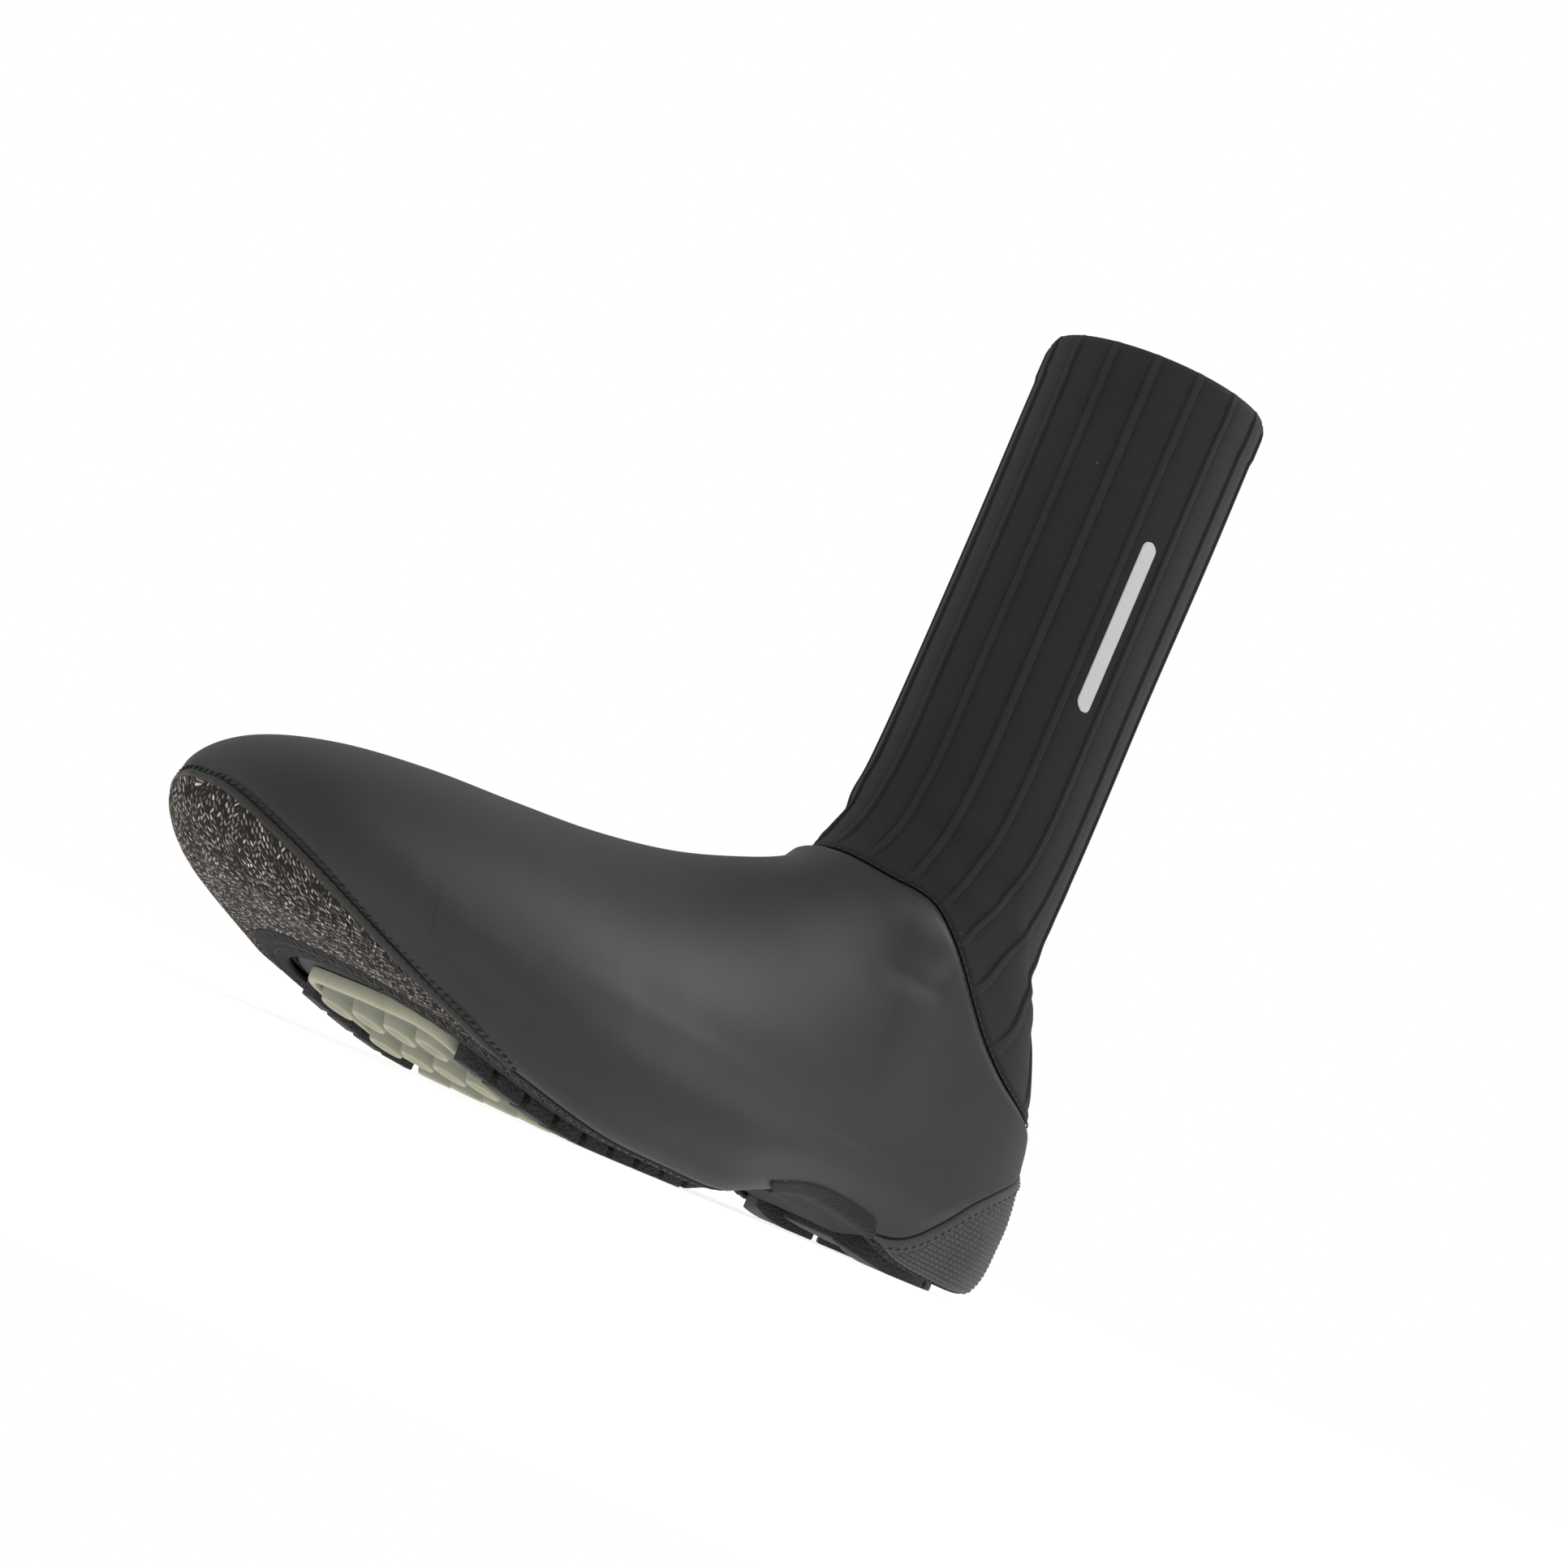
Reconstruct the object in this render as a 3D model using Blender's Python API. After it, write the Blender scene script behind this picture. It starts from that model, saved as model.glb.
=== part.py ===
"""Left cycling overshoe that stands on its sole: upper, ribbed shaft, panels, straps and a lugged sole.

Metres, +Z up. The toe points to -X, the outer side of the foot to -Y, and the floor is z = 0.
"""

import bmesh
import bpy
import numpy as np

# Driving dimensions
LENGTH = 0.299
BALL_WIDTH = 0.112
COLLAR_HEIGHT = 0.262
UPPER_WALL = 0.0030
SHAFT_WALL = 0.0018
OVERLAY = 0.0012
BINDING_PROUD = 0.0006
BINDING_SUNK = 0.0009
GAP = 0.0003
INSOLE = 0.0032
INSOLE_INSET = 0.0034

# The tables give the sample size in millimetres, and these three factors grade it to metres.
ALONG = LENGTH / 299
ACROSS = BALL_WIDTH / 112
UP = COLLAR_HEIGHT / 262

# Plan and underside of the last: a row for each station from the heel, in millimetres.
LAST_COLUMNS = ("along", "half", "centre", "under")
LAST = np.array([
    (0, 36.5, 0.0, 4.4),
    (14, 36.5, 0.0, 3.4),
    (45, 37.0, 0.8, 3.4),
    (58, 37.0, 1.4, 4.6),
    (70, 37.0, 2.0, 8.2),
    (86, 37.6, 3.0, 10.6),
    (105, 39.6, 4.2, 11.0),
    (122, 43.0, 5.0, 8.0),
    (140, 47.8, 4.8, 3.6),
    (165, 53.0, 3.2, 3.4),
    (190, 56.0, 1.6, 4.6),
    (215, 54.5, 0.0, 9.4),
    (240, 49.5, -1.6, 15.6),
    (265, 43.5, -3.0, 21.0),
    (288, 37.5, -4.2, 25.4),
    (302, 34.0, -5.0, 28.4),
])

# Rings round the edge of the sole, from the opening outwards: lifts are over the underside.
EDGE_COLUMNS = (
    "front", "back", "heel_inset", "ball_inset", "shift", "back_lift", "side_lift", "front_lift", "toe_round")
EDGE = np.array([
    (243, 9.5, 8.5, 15.5, -1.5, 0.0, 0.0, 0.0, 20),
    (256, 3.4, 2.8, 5.0, -0.5, 0.0, 0.2, 0.0, 32),
    (272, 1.4, 1.2, 1.6, 0.0, 2.4, 2.6, 0.5, 44),
    (286, 0.4, 0.2, 0.2, 0.0, 7.0, 7.5, 2.4, 50),
    (295.5, 0.0, 0.0, 0.0, 0.0, 14.0, 14.5, 7.0, 50),
])
HEEL_ENDS = 60.0
BALL_STARTS = 130.0

# Rings over the foot, from toe tip to ankle: leg is how much of the ring is a plain oval.
FOOT_COLUMNS = ("front", "front_up", "back", "back_up", "leg", "half")
FOOT = np.array([
    (299, 41.0, 0.5, 24.0, 0.0, 36.0),
    (295.5, 51.0, 1.2, 30.0, 0.0, 36.0),
    (284, 60.5, 2.2, 34.5, 0.0, 36.0),
    (264, 67.0, 3.2, 38.5, 0.0, 36.0),
    (239, 70.8, 4.4, 42.0, 0.0, 36.0),
    (211, 73.0, 5.6, 45.5, 0.0, 36.0),
    (183, 75.6, 7.0, 49.0, 0.0, 36.0),
    (157, 80.2, 8.4, 52.5, 0.0, 36.0),
    (134, 87.5, 10.2, 56.0, 0.15, 36.0),
    (116, 95.0, 12.6, 60.5, 0.4, 36.0),
    (104.5, 103.0, 16.4, 66.5, 0.7, 35.5),
    (98.5, 111.5, 22.4, 74.5, 0.9, 34.5),
    (95, 122.0, 28.6, 84.0, 1.0, 33.5),
])

# Rings up the shaft.
LEG_COLUMNS = ("front", "front_up", "back", "back_up", "half")
LEG = np.array([
    (93.6, 136, 30.4, 99, 32.8),
    (93.2, 158, 29.8, 127, 32.4),
    (93.0, 190, 29.2, 172, 32.2),
    (93.0, 226, 28.8, 218, 32.2),
    (93.0, 262, 28.6, 262, 32.2),
])

EDGE_RINGS = len(EDGE)
FOOT_RINGS = len(FOOT)
RINGS = EDGE_RINGS + FOOT_RINGS + len(LEG)
SIDE_HEIGHT = 18.0
HEEL_ROUND = 34.0
TOE_ROUND = 48.0
SHAFT_CENTRE = 1.0
BOX_CENTRE = 1.3

# Fullness of the cross-section and shift of its ridge to the inner side, by station in millimetres.
FULL_AT = (0, 60, 110, 150, 190, 230, 270, 302)
FULLNESS = (2.0, 2.0, 1.5, 1.35, 1.5, 1.8, 2.2, 2.4)
RIDGE_AT = (0, 90, 130, 190, 240, 302)
RIDGE_SHIFT = (0, 0, 2.0, 5.0, 4.0, 0.0)

# Seams, as levels of the form in rings: each panel rises over its half width, given as a turn.
BINDING_RING = 1.0
PANEL_RING = 2.4
SEAM_AT = np.array([0.0, 0.116, 0.158, 0.204, 0.272, 0.32, 0.365, 0.42, 0.5])
SEAM_LEVELS = np.array([11.7, 11.85, 12.25, 12.95, 14.0, 14.65, 15.05, 14.85, 14.8])
TOE_RISE = 4.5
TOE_HALF_TURN = 0.123
HEEL_RISE = 9.6
HEEL_HALF_TURN = 0.172
HEEL_POWER = 1.35
SEAM_SLIT = 0.03
SHAFT_SLIT = 0.06
PANEL_SHARES = (0.2, 0.4, 0.6, 0.8)

# How finely the solids are faceted.
COLUMNS = 60
UPPER_ROWS = 9
RIBS = 16
RIB_LEAN = (0.055, 0.022)
LEAN_FROM = 18.8
LEAN_OVER = 3.8
RIB_HALF_WIDTH = 0.0011
RIB_HEIGHT = 0.0007
SHARP_ANGLE = 0.6
DIAGONAL_MARGIN = 0.0004


def column(table, columns, name, row):
    return table[row, columns.index(name)]


def spline(knots, values, at):
    """Smooth curve through a table, with the slope of its neighbours at each row."""
    slopes = np.gradient(values, knots)
    i = np.clip(np.searchsorted(knots, at) - 1, 0, len(knots) - 2)
    width = knots[i + 1] - knots[i]
    t = np.clip((at - knots[i]) / width, 0, 1)
    start = (1 + 2 * t) * (1 - t) ** 2 * values[i] + t * (1 - t) ** 2 * width * slopes[i]
    end = t * t * (3 - 2 * t) * values[i + 1] + t * t * (t - 1) * width * slopes[i + 1]
    return start + end


def last(name, along):
    return spline(LAST[:, 0], LAST[:, LAST_COLUMNS.index(name)], along)


def crest(along):
    """Height of the ridge of the foot over a station, rising into the shin."""
    rows = FOOT[::-1]
    foot = spline(rows[:, 0], rows[:, 1], np.clip(along, rows[0, 0], rows[-1, 0]))
    return foot + 0.8 * np.maximum(rows[0, 0] - along, 0)


def rounded(share):
    return 1 - (1 - np.clip(share, 0, 1)) ** 2


def ends(along, front, back, toe_round):
    return rounded((front - along) / toe_round), rounded((along - back) / HEEL_ROUND)


def edge_sides(row, along, front, back, inset_more):
    """Centre and half width of an edge ring at a station, drawn in by inset_more millimetres."""
    t = np.clip((along - HEEL_ENDS) / (BALL_STARTS - HEEL_ENDS), 0, 1)
    ball = t * t * (3 - 2 * t)
    heel_inset = column(EDGE, EDGE_COLUMNS, "heel_inset", row)
    ball_inset = column(EDGE, EDGE_COLUMNS, "ball_inset", row)
    inset = heel_inset + (ball_inset - heel_inset) * ball + inset_more
    centre = last("centre", along) + column(EDGE, EDGE_COLUMNS, "shift", row) * ball
    toe, heel = ends(along, front, back, column(EDGE, EDGE_COLUMNS, "toe_round", row))
    return centre, (last("half", along) - inset) * np.sqrt(toe * heel)


def edge_ring(row, turn, inset_more=0.0):
    """A ring of the edge table, drawn in by inset_more millimetres."""
    front = column(EDGE, EDGE_COLUMNS, "front", row) - inset_more
    back = column(EDGE, EDGE_COLUMNS, "back", row) + inset_more
    s = (1 - np.cos(2 * np.pi * turn)) / 2
    along = back + (front - back) * s
    lifts = [column(EDGE, EDGE_COLUMNS, name, row) for name in ("back_lift", "side_lift", "front_lift")]
    middle = 2 * lifts[1] - (lifts[0] + lifts[2]) / 2
    lift = lifts[0] * (1 - s) ** 2 + 2 * middle * s * (1 - s) + lifts[2] * s * s
    side = np.sign(np.sin(2 * np.pi * turn))
    centre, half = edge_sides(row, along, front, back, inset_more)
    return np.stack([along, centre + side * half, last("under", along) + lift], -1)


def body_ring(front, front_up, back, back_up, leg, leg_half, turn):
    """A tilted ring from a point on the back to a point on the ridge or the shin."""
    s = (1 - np.cos(2 * np.pi * turn)) / 2
    along = back + (front - back) * s
    up = back_up + (front_up - back_up) * s
    side_top = last("under", along) + SIDE_HEIGHT
    rise = np.clip((up - side_top) / np.maximum(crest(along) - side_top, 1), 0, 1) * (leg < 1)
    arch = 1 - rise ** np.interp(along, FULL_AT, FULLNESS)
    toe, heel = ends(along, FOOT[0, 0], back, TOE_ROUND)
    foot_half = last("half", along) * np.sqrt(arch * toe * heel)
    oval_half = leg_half * np.sqrt(np.clip(1 - (2 * s - 1) ** 2, 0, 1))
    half = (1 - leg) * foot_half + leg * oval_half
    ridge = last("centre", along) - np.interp(along, RIDGE_AT, RIDGE_SHIFT) * rise**2
    centre = (1 - leg) * ridge + leg * SHAFT_CENTRE
    side = np.sign(np.sin(2 * np.pi * turn))
    return np.stack([along, centre + side * half, up], -1)


def ring(index, turn):
    """Point of a whole ring at a turn: 0 is the back, 0.25 the outer side, 0.5 the front."""
    edge = np.clip(index, 0, EDGE_RINGS - 1)
    foot = np.clip(index - EDGE_RINGS, 0, FOOT_RINGS - 1)
    leg = np.clip(index - EDGE_RINGS - FOOT_RINGS, 0, len(LEG) - 1)
    on_leg = index >= EDGE_RINGS + FOOT_RINGS
    values = []
    for name in FOOT_COLUMNS:
        of_foot = column(FOOT, FOOT_COLUMNS, name, foot)
        of_leg = 1.0 if name == "leg" else column(LEG, LEG_COLUMNS, name, leg)
        values.append(np.where(on_leg, of_leg, of_foot))
    body = body_ring(*values, turn)
    return np.where((index < EDGE_RINGS)[..., None], edge_ring(edge, turn), body)


def form(turn, level):
    """Outer surface of the last in sample millimetres: a smooth loft through the rings."""
    turn, level = np.broadcast_arrays(np.asarray(turn, float), np.asarray(level, float))
    first = np.clip(np.floor(level).astype(int), 0, RINGS - 2)
    t = (level - first)[..., None]
    a, b, c, d = (ring(np.clip(first + step, 0, RINGS - 1), turn) for step in (-1, 0, 1, 2))
    return b + 0.5 * t * (c - a + t * (2 * a - 5 * b + 4 * c - d + t * (3 * (b - c) + d - a)))


def graded(point):
    return point * np.array([ALONG, ACROSS, UP])


def skin(turn, level, offset=0.0):
    """Point in metres (along, across, up), pushed out of the form by offset."""
    turn, level = np.broadcast_arrays(np.asarray(turn, float), np.asarray(level, float))
    step = 1e-3
    low = np.clip(level - step, 0, RINGS - 1)
    high = np.clip(level + step, 0, RINGS - 1)
    around = graded(form(turn + step, level)) - graded(form(turn - step, level))
    upward = graded(form(turn, high)) - graded(form(turn, low))
    normal = np.cross(upward, around)
    normal /= np.linalg.norm(normal, axis=-1, keepdims=True)
    return graded(form(turn, level)) + normal * np.asarray(offset, float)[..., None]


def placed(point):
    """From (along, across, up) to the part's frame."""
    along, across, up = np.moveaxis(np.asarray(point, float), -1, 0)
    return np.stack([LENGTH / 2 - along, BOX_CENTRE * ACROSS - across, up], -1)


def material(name, colour, roughness):
    made = bpy.data.materials.new(name)
    made.use_nodes = True
    shader = made.node_tree.nodes["Principled BSDF"]
    shader.inputs["Base Color"].default_value = (*colour, 1)
    shader.inputs["Roughness"].default_value = roughness
    made.diffuse_color = (*colour, 1)
    return made


def piece(name, points, faces, finish):
    mesh = bpy.data.meshes.new(name)
    mesh.from_pydata([tuple(p) for p in placed(points)], [], faces)
    shell = bmesh.new()
    shell.from_mesh(mesh)
    bmesh.ops.recalc_face_normals(shell, faces=shell.faces)
    if shell.calc_volume(signed=True) < 0:
        bmesh.ops.reverse_faces(shell, faces=shell.faces)
    shell.to_mesh(mesh)
    shell.free()
    mesh.shade_smooth()
    mesh.set_sharp_from_angle(angle=SHARP_ANGLE)
    made = bpy.data.objects.new(name, mesh)
    bpy.context.scene.collection.objects.link(made)
    if finish:
        mesh.materials.append(finish)
    return made


def grid_faces(grid, first, closed):
    """Triangles over a grid of points, every cell cut along its shorter diagonal."""
    rows, columns = grid.shape[:2]
    faces = []
    for i in range(rows - 1):
        for j in range(columns if closed else columns - 1):
            k = (j + 1) % columns
            a, b = first + i * columns, first + (i + 1) * columns
            rising = np.linalg.norm(grid[i, j] - grid[i + 1, k])
            if rising <= np.linalg.norm(grid[i, k] - grid[i + 1, j]) + DIAGONAL_MARGIN:
                faces += [[a + j, a + k, b + k], [a + j, b + k, b + j]]
            else:
                faces += [[a + j, a + k, b + j], [a + k, b + k, b + j]]
    return faces


def wall(name, outer, inner, finish, closed=True):
    """Closed solid between an outer and an inner grid of the same size."""
    rows, columns = outer.shape[:2]
    count = rows * columns
    faces = grid_faces(outer, 0, closed) + grid_faces(outer, count, closed)
    for j in range(columns if closed else columns - 1):
        k = (j + 1) % columns
        top = (rows - 1) * columns
        faces.append([j, count + j, count + k, k])
        faces.append([top + j, top + k, count + top + k, count + top + j])
    if not closed:
        for i in range(rows - 1):
            a, b = i * columns, (i + 1) * columns
            c, d = a + columns - 1, b + columns - 1
            faces.append([a, b, count + b, count + a])
            faces.append([c, count + c, count + d, d])
    points = np.concatenate([outer.reshape(-1, 3), inner.reshape(-1, 3)])
    return piece(name, points, faces, finish)


def stack_mesh(rings):
    """Points and faces of a stack of rings, closed by strips across the first and the last."""
    rows, columns = rings.shape[:2]
    faces = grid_faces(rings, 0, True)
    for first in (0, (rows - 1) * columns):
        for j in range(columns // 2):
            quad = [first + j, first + j + 1, first + columns - j - 1, first + (columns - j) % columns]
            faces.append(list(dict.fromkeys(quad)))
    return rings.reshape(-1, 3), faces


def turns(count):
    return np.arange(count) / count


def panel_levels(turn):
    """Level of the panel line round the shoe: the toe seam, the edge of the sole, the heel seam."""
    from_toe = np.clip(np.abs(turn - 0.5) / TOE_HALF_TURN, 0, 1)
    from_heel = np.clip((0.5 - np.abs(turn - 0.5)) / HEEL_HALF_TURN, 0, 1)
    toe = BINDING_RING + TOE_RISE * np.sqrt(1 - from_toe**2)
    heel = BINDING_RING + HEEL_RISE * (1 - from_heel**HEEL_POWER)
    return np.maximum(np.maximum(toe, heel), PANEL_RING)


def seam_levels(turn):
    """Level of the seam between upper and shaft: low at the back, highest beside the collar of the foot."""
    return spline(SEAM_AT, SEAM_LEVELS, 0.5 - np.abs(turn % 1.0 - 0.5))


def under_panel(turn):
    return panel_levels(turn) > PANEL_RING + 0.12


def widened(mask):
    return mask | np.roll(mask, 1) | np.roll(mask, -1)


def build_upper(finish):
    """Hollow neoprene shell: sunk under the binding and the panels, full above them."""
    turn = turns(COLUMNS)
    panel = panel_levels(turn)
    sunk = widened(under_panel(turn))
    rows = []
    for share in (0.08, 0.5, BINDING_RING - 0.03):
        rows.append((np.full(COLUMNS, share), np.full(COLUMNS, -BINDING_SUNK - GAP)))
    for share in (0.03, *PANEL_SHARES, 1.0):
        level = BINDING_RING + (panel - SEAM_SLIT - BINDING_RING) * share
        rows.append((level, np.where(sunk, -OVERLAY - GAP, 0.0)))
    top = seam_levels(turn) - SHAFT_SLIT
    for share in np.linspace(0, 1, UPPER_ROWS) ** 1.3:
        level = panel + SEAM_SLIT + (top - panel - SEAM_SLIT) * share
        rows.append((level, np.zeros(COLUMNS)))
    outer = np.array([skin(turn, level, offset) for level, offset in rows])
    inner = np.array([skin(turn, level, np.full(COLUMNS, -UPPER_WALL)) for level, _ in rows])
    return wall("upper", outer, inner, finish)


def rib_turns(turn, level):
    """Turn of a rib at a level: straight up the leg, leaning forward where the knit meets the ankle seam."""
    share = np.clip((LEAN_FROM - level) / LEAN_OVER, 0, 1)
    lean = RIB_LEAN[0] * np.sin(2 * np.pi * turn) + RIB_LEAN[1] * np.sin(4 * np.pi * turn)
    return turn + lean * share**2 * (3 - 2 * share)


def build_shaft(finish):
    """Knitted tube with raised ribs, at equal turns but for their lean above the ankle."""
    around = np.pi * (LEG[-1, 0] - LEG[-1, 2]) * ALONG
    half = RIB_HALF_WIDTH / around
    offsets = np.array([-half, 0.0, half, 0.5 / RIBS])
    turn = (np.arange(RIBS)[:, None] / RIBS + offsets[None, :] + 0.25 / RIBS).ravel() % 1.0
    rib = np.tile([0.0, RIB_HEIGHT, 0.0, 0.0], RIBS)
    seam = seam_levels(rib_turns(turn, np.zeros(len(turn))))
    rows = [seam + (RINGS - 5 - seam) * share for share in np.linspace(0, 1, 6)]
    rows += [np.full(len(turn), level) for level in (RINGS - 3.5, RINGS - 1.0)]
    fades = [np.clip((level - seam) / 1.5, 0, 1) for level in rows]
    outer = np.array([skin(rib_turns(turn, level), level, rib * fade) for level, fade in zip(rows, fades)])
    inner = np.array([skin(rib_turns(turn, level), level, np.full(len(turn), -SHAFT_WALL)) for level in rows])
    return wall("shaft", outer, inner, finish)


def build_binding(finish):
    turn = turns(COLUMNS)
    levels = (0.0, 0.5, BINDING_RING - 0.06)
    outer = np.array([skin(turn, np.full(COLUMNS, v), np.full(COLUMNS, BINDING_PROUD)) for v in levels])
    inner = np.array([skin(turn, np.full(COLUMNS, v), np.full(COLUMNS, -BINDING_SUNK)) for v in levels])
    return wall("edge_binding", outer, inner, finish)


def build_panel(name, columns, finish):
    """Thin patch let into the upper, from the binding up to the panel line, on the upper's own rows."""
    turn = (np.arange(COLUMNS)[columns] / COLUMNS) % 1.0
    shares = np.array([0.08, *PANEL_SHARES, 0.95])
    reach = panel_levels(turn) - SEAM_SLIT - BINDING_RING
    levels = BINDING_RING + reach[None, :] * shares[:, None]
    wide = np.broadcast_to(turn, levels.shape)
    outer = skin(wide, levels, np.zeros(levels.shape))
    inner = skin(wide, levels, np.full(levels.shape, -OVERLAY))
    return wall(name, outer, inner, finish, closed=False)


def build_toe_panel(finish):
    covered = np.flatnonzero(under_panel(turns(COLUMNS)) & (np.abs(turns(COLUMNS) - 0.5) < 0.25))
    return build_panel("toe_panel", covered, finish)


def build_heel_panel(finish):
    covered = np.flatnonzero(under_panel(turns(COLUMNS)) & (np.abs(turns(COLUMNS) - 0.5) > 0.25))
    split = np.argmax(np.diff(covered)) + 1
    return build_panel("heel_panel", np.roll(covered, -split), finish)


# Outsole: a slab inside the upper's wall, a platform in the opening, and blocks on the platform.
SLAB_CLEAR = 0.0017
FLANGE_CLEAR = 0.0005
PLATFORM_INSET = 1.4
TREAD_BASE = 1.6
FACE_LIFT = -3.7
SLAB_LEVELS = (3.7, 3.1, 2.5, 1.9, 1.3, 0.7, 0.35)
BLOCK_ROWS = tuple(np.arange(123, 234, 10.6))
BLOCK_LENGTH = 8.6
BLOCK_COLUMNS = ((-0.97, -0.70), (-0.62, -0.36), (-0.29, -0.04), (0.04, 0.29), (0.36, 0.62), (0.70, 0.97))
BLOCK_GROOVE = 1.6
LEAST_BLOCK = 2.5
HEEL_BLOCKS = ((-0.150, -0.094), (-0.088, -0.033), (-0.027, 0.027), (0.033, 0.088), (0.094, 0.150))
HEEL_RIM = 11.0
ISLAND = ((26, 58), (-0.42, 0.42))
ISLAND_LIFT = -1.4

# Pad: its ends and its sides at rear and front, in sample millimetres.
PAD_REAR = 151.0
PAD_FRONT = 233.0
PAD_BOW = 0.8
PAD_SIDES = ((-33.0, 30.0), (-30.0, 27.0))
PAD_CORNER = 10.0
PAD_BACK = 1.3
PAD_FLOOR = 0.2
PAD_RIM_FACE = -1.9
PAD_RIM_WIDTH = 2.6
STUD_ROWS = (163.0, 182.5, 202.0, 221.5)
STUD_SHARES = (0.145, 0.382, 0.618, 0.855)
STUD_SIDES = 9
STUD_PROFILE = ((5.8, 0.6), (5.7, 0.2), (4.6, -3.7), (3.8, -3.7), (2.6, -2.6))


def platform_side(along, share):
    """Across position at a share, from -1 on the inner side to 1, of the platform's width."""
    along = np.asarray(along, float)
    front = EDGE[0, 0] - PLATFORM_INSET
    back = EDGE[0, 1] + PLATFORM_INSET
    centre, half = edge_sides(0, along, front, back, PLATFORM_INSET)
    return centre + share * half


def pad_side(along, share, inset=0.0):
    """Across position at a share of the pad's width, 0 on the inner side and 1 on the outer."""
    t = (np.asarray(along, float) - PAD_REAR) / (PAD_FRONT - PAD_REAR)
    inner = PAD_SIDES[0][0] + (PAD_SIDES[1][0] - PAD_SIDES[0][0]) * t + inset
    outer = PAD_SIDES[0][1] + (PAD_SIDES[1][1] - PAD_SIDES[0][1]) * t - inset
    return inner + (outer - inner) * share


def box_faces(first, columns, count):
    """Faces of a strip of boxes whose four corners repeat at each of count stations."""
    faces = []
    for i in range(count - 1):
        for j in range(columns):
            k = (j + 1) % columns
            a, b = first + i * columns, first + (i + 1) * columns
            faces.append([a + j, a + k, b + k, b + j])
    faces.append([first + j for j in range(columns)][::-1])
    faces.append([first + (count - 1) * columns + j for j in range(columns)])
    return faces


def tread_face(along):
    """Lift of a tread block's face over the underside, never below the floor."""
    return np.maximum(FACE_LIFT, -last("under", np.asarray(along, float)))


def block_points(stations, near, far, face=None):
    """Corner points of a block: near and far across positions at each station."""
    points = []
    for along, a, b in zip(stations, near, far):
        low = tread_face(along) if face is None else face
        for across, lift in ((a, low), (b, low), (b, TREAD_BASE + 0.8), (a, TREAD_BASE + 0.8)):
            under = last("under", np.asarray(along, float))
            points.append(graded(np.array([along, across, under + lift])))
    return points


def tread_blocks():
    """Points and faces of every tread block, each a closed solid."""
    points, faces = [], []

    def add(stations, near, far, face=None):
        faces.extend(box_faces(len(points), 4, len(stations)))
        points.extend(block_points(stations, near, far, face))

    for along in BLOCK_ROWS:
        stations = np.array([along - BLOCK_LENGTH / 2, along + BLOCK_LENGTH / 2])
        sides = [(platform_side(stations, low), platform_side(stations, high)) for low, high in BLOCK_COLUMNS]
        clear = PAD_BOW + BLOCK_GROOVE
        if stations[1] > PAD_REAR - clear and stations[0] < PAD_FRONT + clear:
            beside = np.clip(stations, PAD_REAR, PAD_FRONT)
            inner = pad_side(beside, 0) - BLOCK_GROOVE
            outer = pad_side(beside, 1) + BLOCK_GROOVE
            sides = [(sides[0][0], inner), (outer, sides[-1][1])]
        for near, far in sides:
            if (far - near).min() > LEAST_BLOCK:
                add(stations, near, far)
    for start, stop in HEEL_BLOCKS:
        turn = np.linspace(start, stop, 5) % 1.0
        outer = edge_ring(0, turn, PLATFORM_INSET + 0.3)
        inner = edge_ring(0, turn, PLATFORM_INSET + HEEL_RIM)
        first = len(points)
        for o, i in zip(outer, inner):
            for p, base in ((i, False), (o, False), (o, True), (i, True)):
                lift = TREAD_BASE + 0.8 if base else tread_face(p[0])
                points.append(graded(np.array([p[0], p[1], last("under", p[0]) + lift])))
        faces.extend(box_faces(first, 4, len(turn)))
    stations = np.linspace(*ISLAND[0], 3)
    sides = [platform_side(stations, share) for share in ISLAND[1]]
    add(stations, *sides, face=ISLAND_LIFT)
    return np.array(points), faces


def joined(target, helper):
    """Unions a hidden helper into the target."""
    helper.hide_render = True
    helper.display_type = "WIRE"
    union = target.modifiers.new("union", "BOOLEAN")
    union.operation = "UNION"
    union.solver = "MANIFOLD"
    union.object = helper
    return target


def build_outsole(finish):
    turn = turns(COLUMNS)
    rings = []
    for level in SLAB_LEVELS:
        clear = FLANGE_CLEAR if level < BINDING_RING else SLAB_CLEAR
        rings.append(skin(turn, np.full(COLUMNS, level), np.full(COLUMNS, -UPPER_WALL - clear)))
    platform = edge_ring(0, turn, PLATFORM_INSET)
    top = rings[-1][:, 2]
    for lift in (None, TREAD_BASE):
        row = graded(platform)
        row[:, 2] = top if lift is None else graded(platform + np.array([0, 0, lift]))[:, 2]
        rings.append(row)
    points, faces = stack_mesh(np.array(rings))
    sole = piece("outsole", points, faces, finish)
    return joined(sole, piece("outsole_blocks", *tread_blocks(), None))


def pad_ring(inset, lift):
    """Ring round the pad with rounded corners: rear middle, outer side, front middle, inner side."""
    corner = PAD_CORNER - inset
    rear, front = PAD_REAR + inset, PAD_FRONT - inset
    bend = corner * (1 - np.cos(np.linspace(0, np.pi / 2, 4)))
    straight = np.linspace(rear + corner, front - corner, 8)[1:-1]
    along = np.concatenate([rear + bend, straight, (front - bend)[::-1]])
    from_end = np.minimum(np.minimum(along - rear, front - along), corner)
    pull = corner - np.sqrt(np.maximum(corner**2 - (corner - from_end) ** 2, 0))
    outer = np.column_stack([along, pad_side(along, 1, inset) - pull])
    inner = np.column_stack([along, pad_side(along, 0, inset) + pull])
    middles = [(rear - PAD_BOW, pad_side(rear, 0.5)), (front + PAD_BOW, pad_side(front, 0.5))]
    outline = np.concatenate([middles[:1], outer, middles[1:], inner[::-1]])
    under = last("under", outline[:, 0])
    return graded(np.column_stack([outline, under + np.maximum(lift, -under)]))


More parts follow.
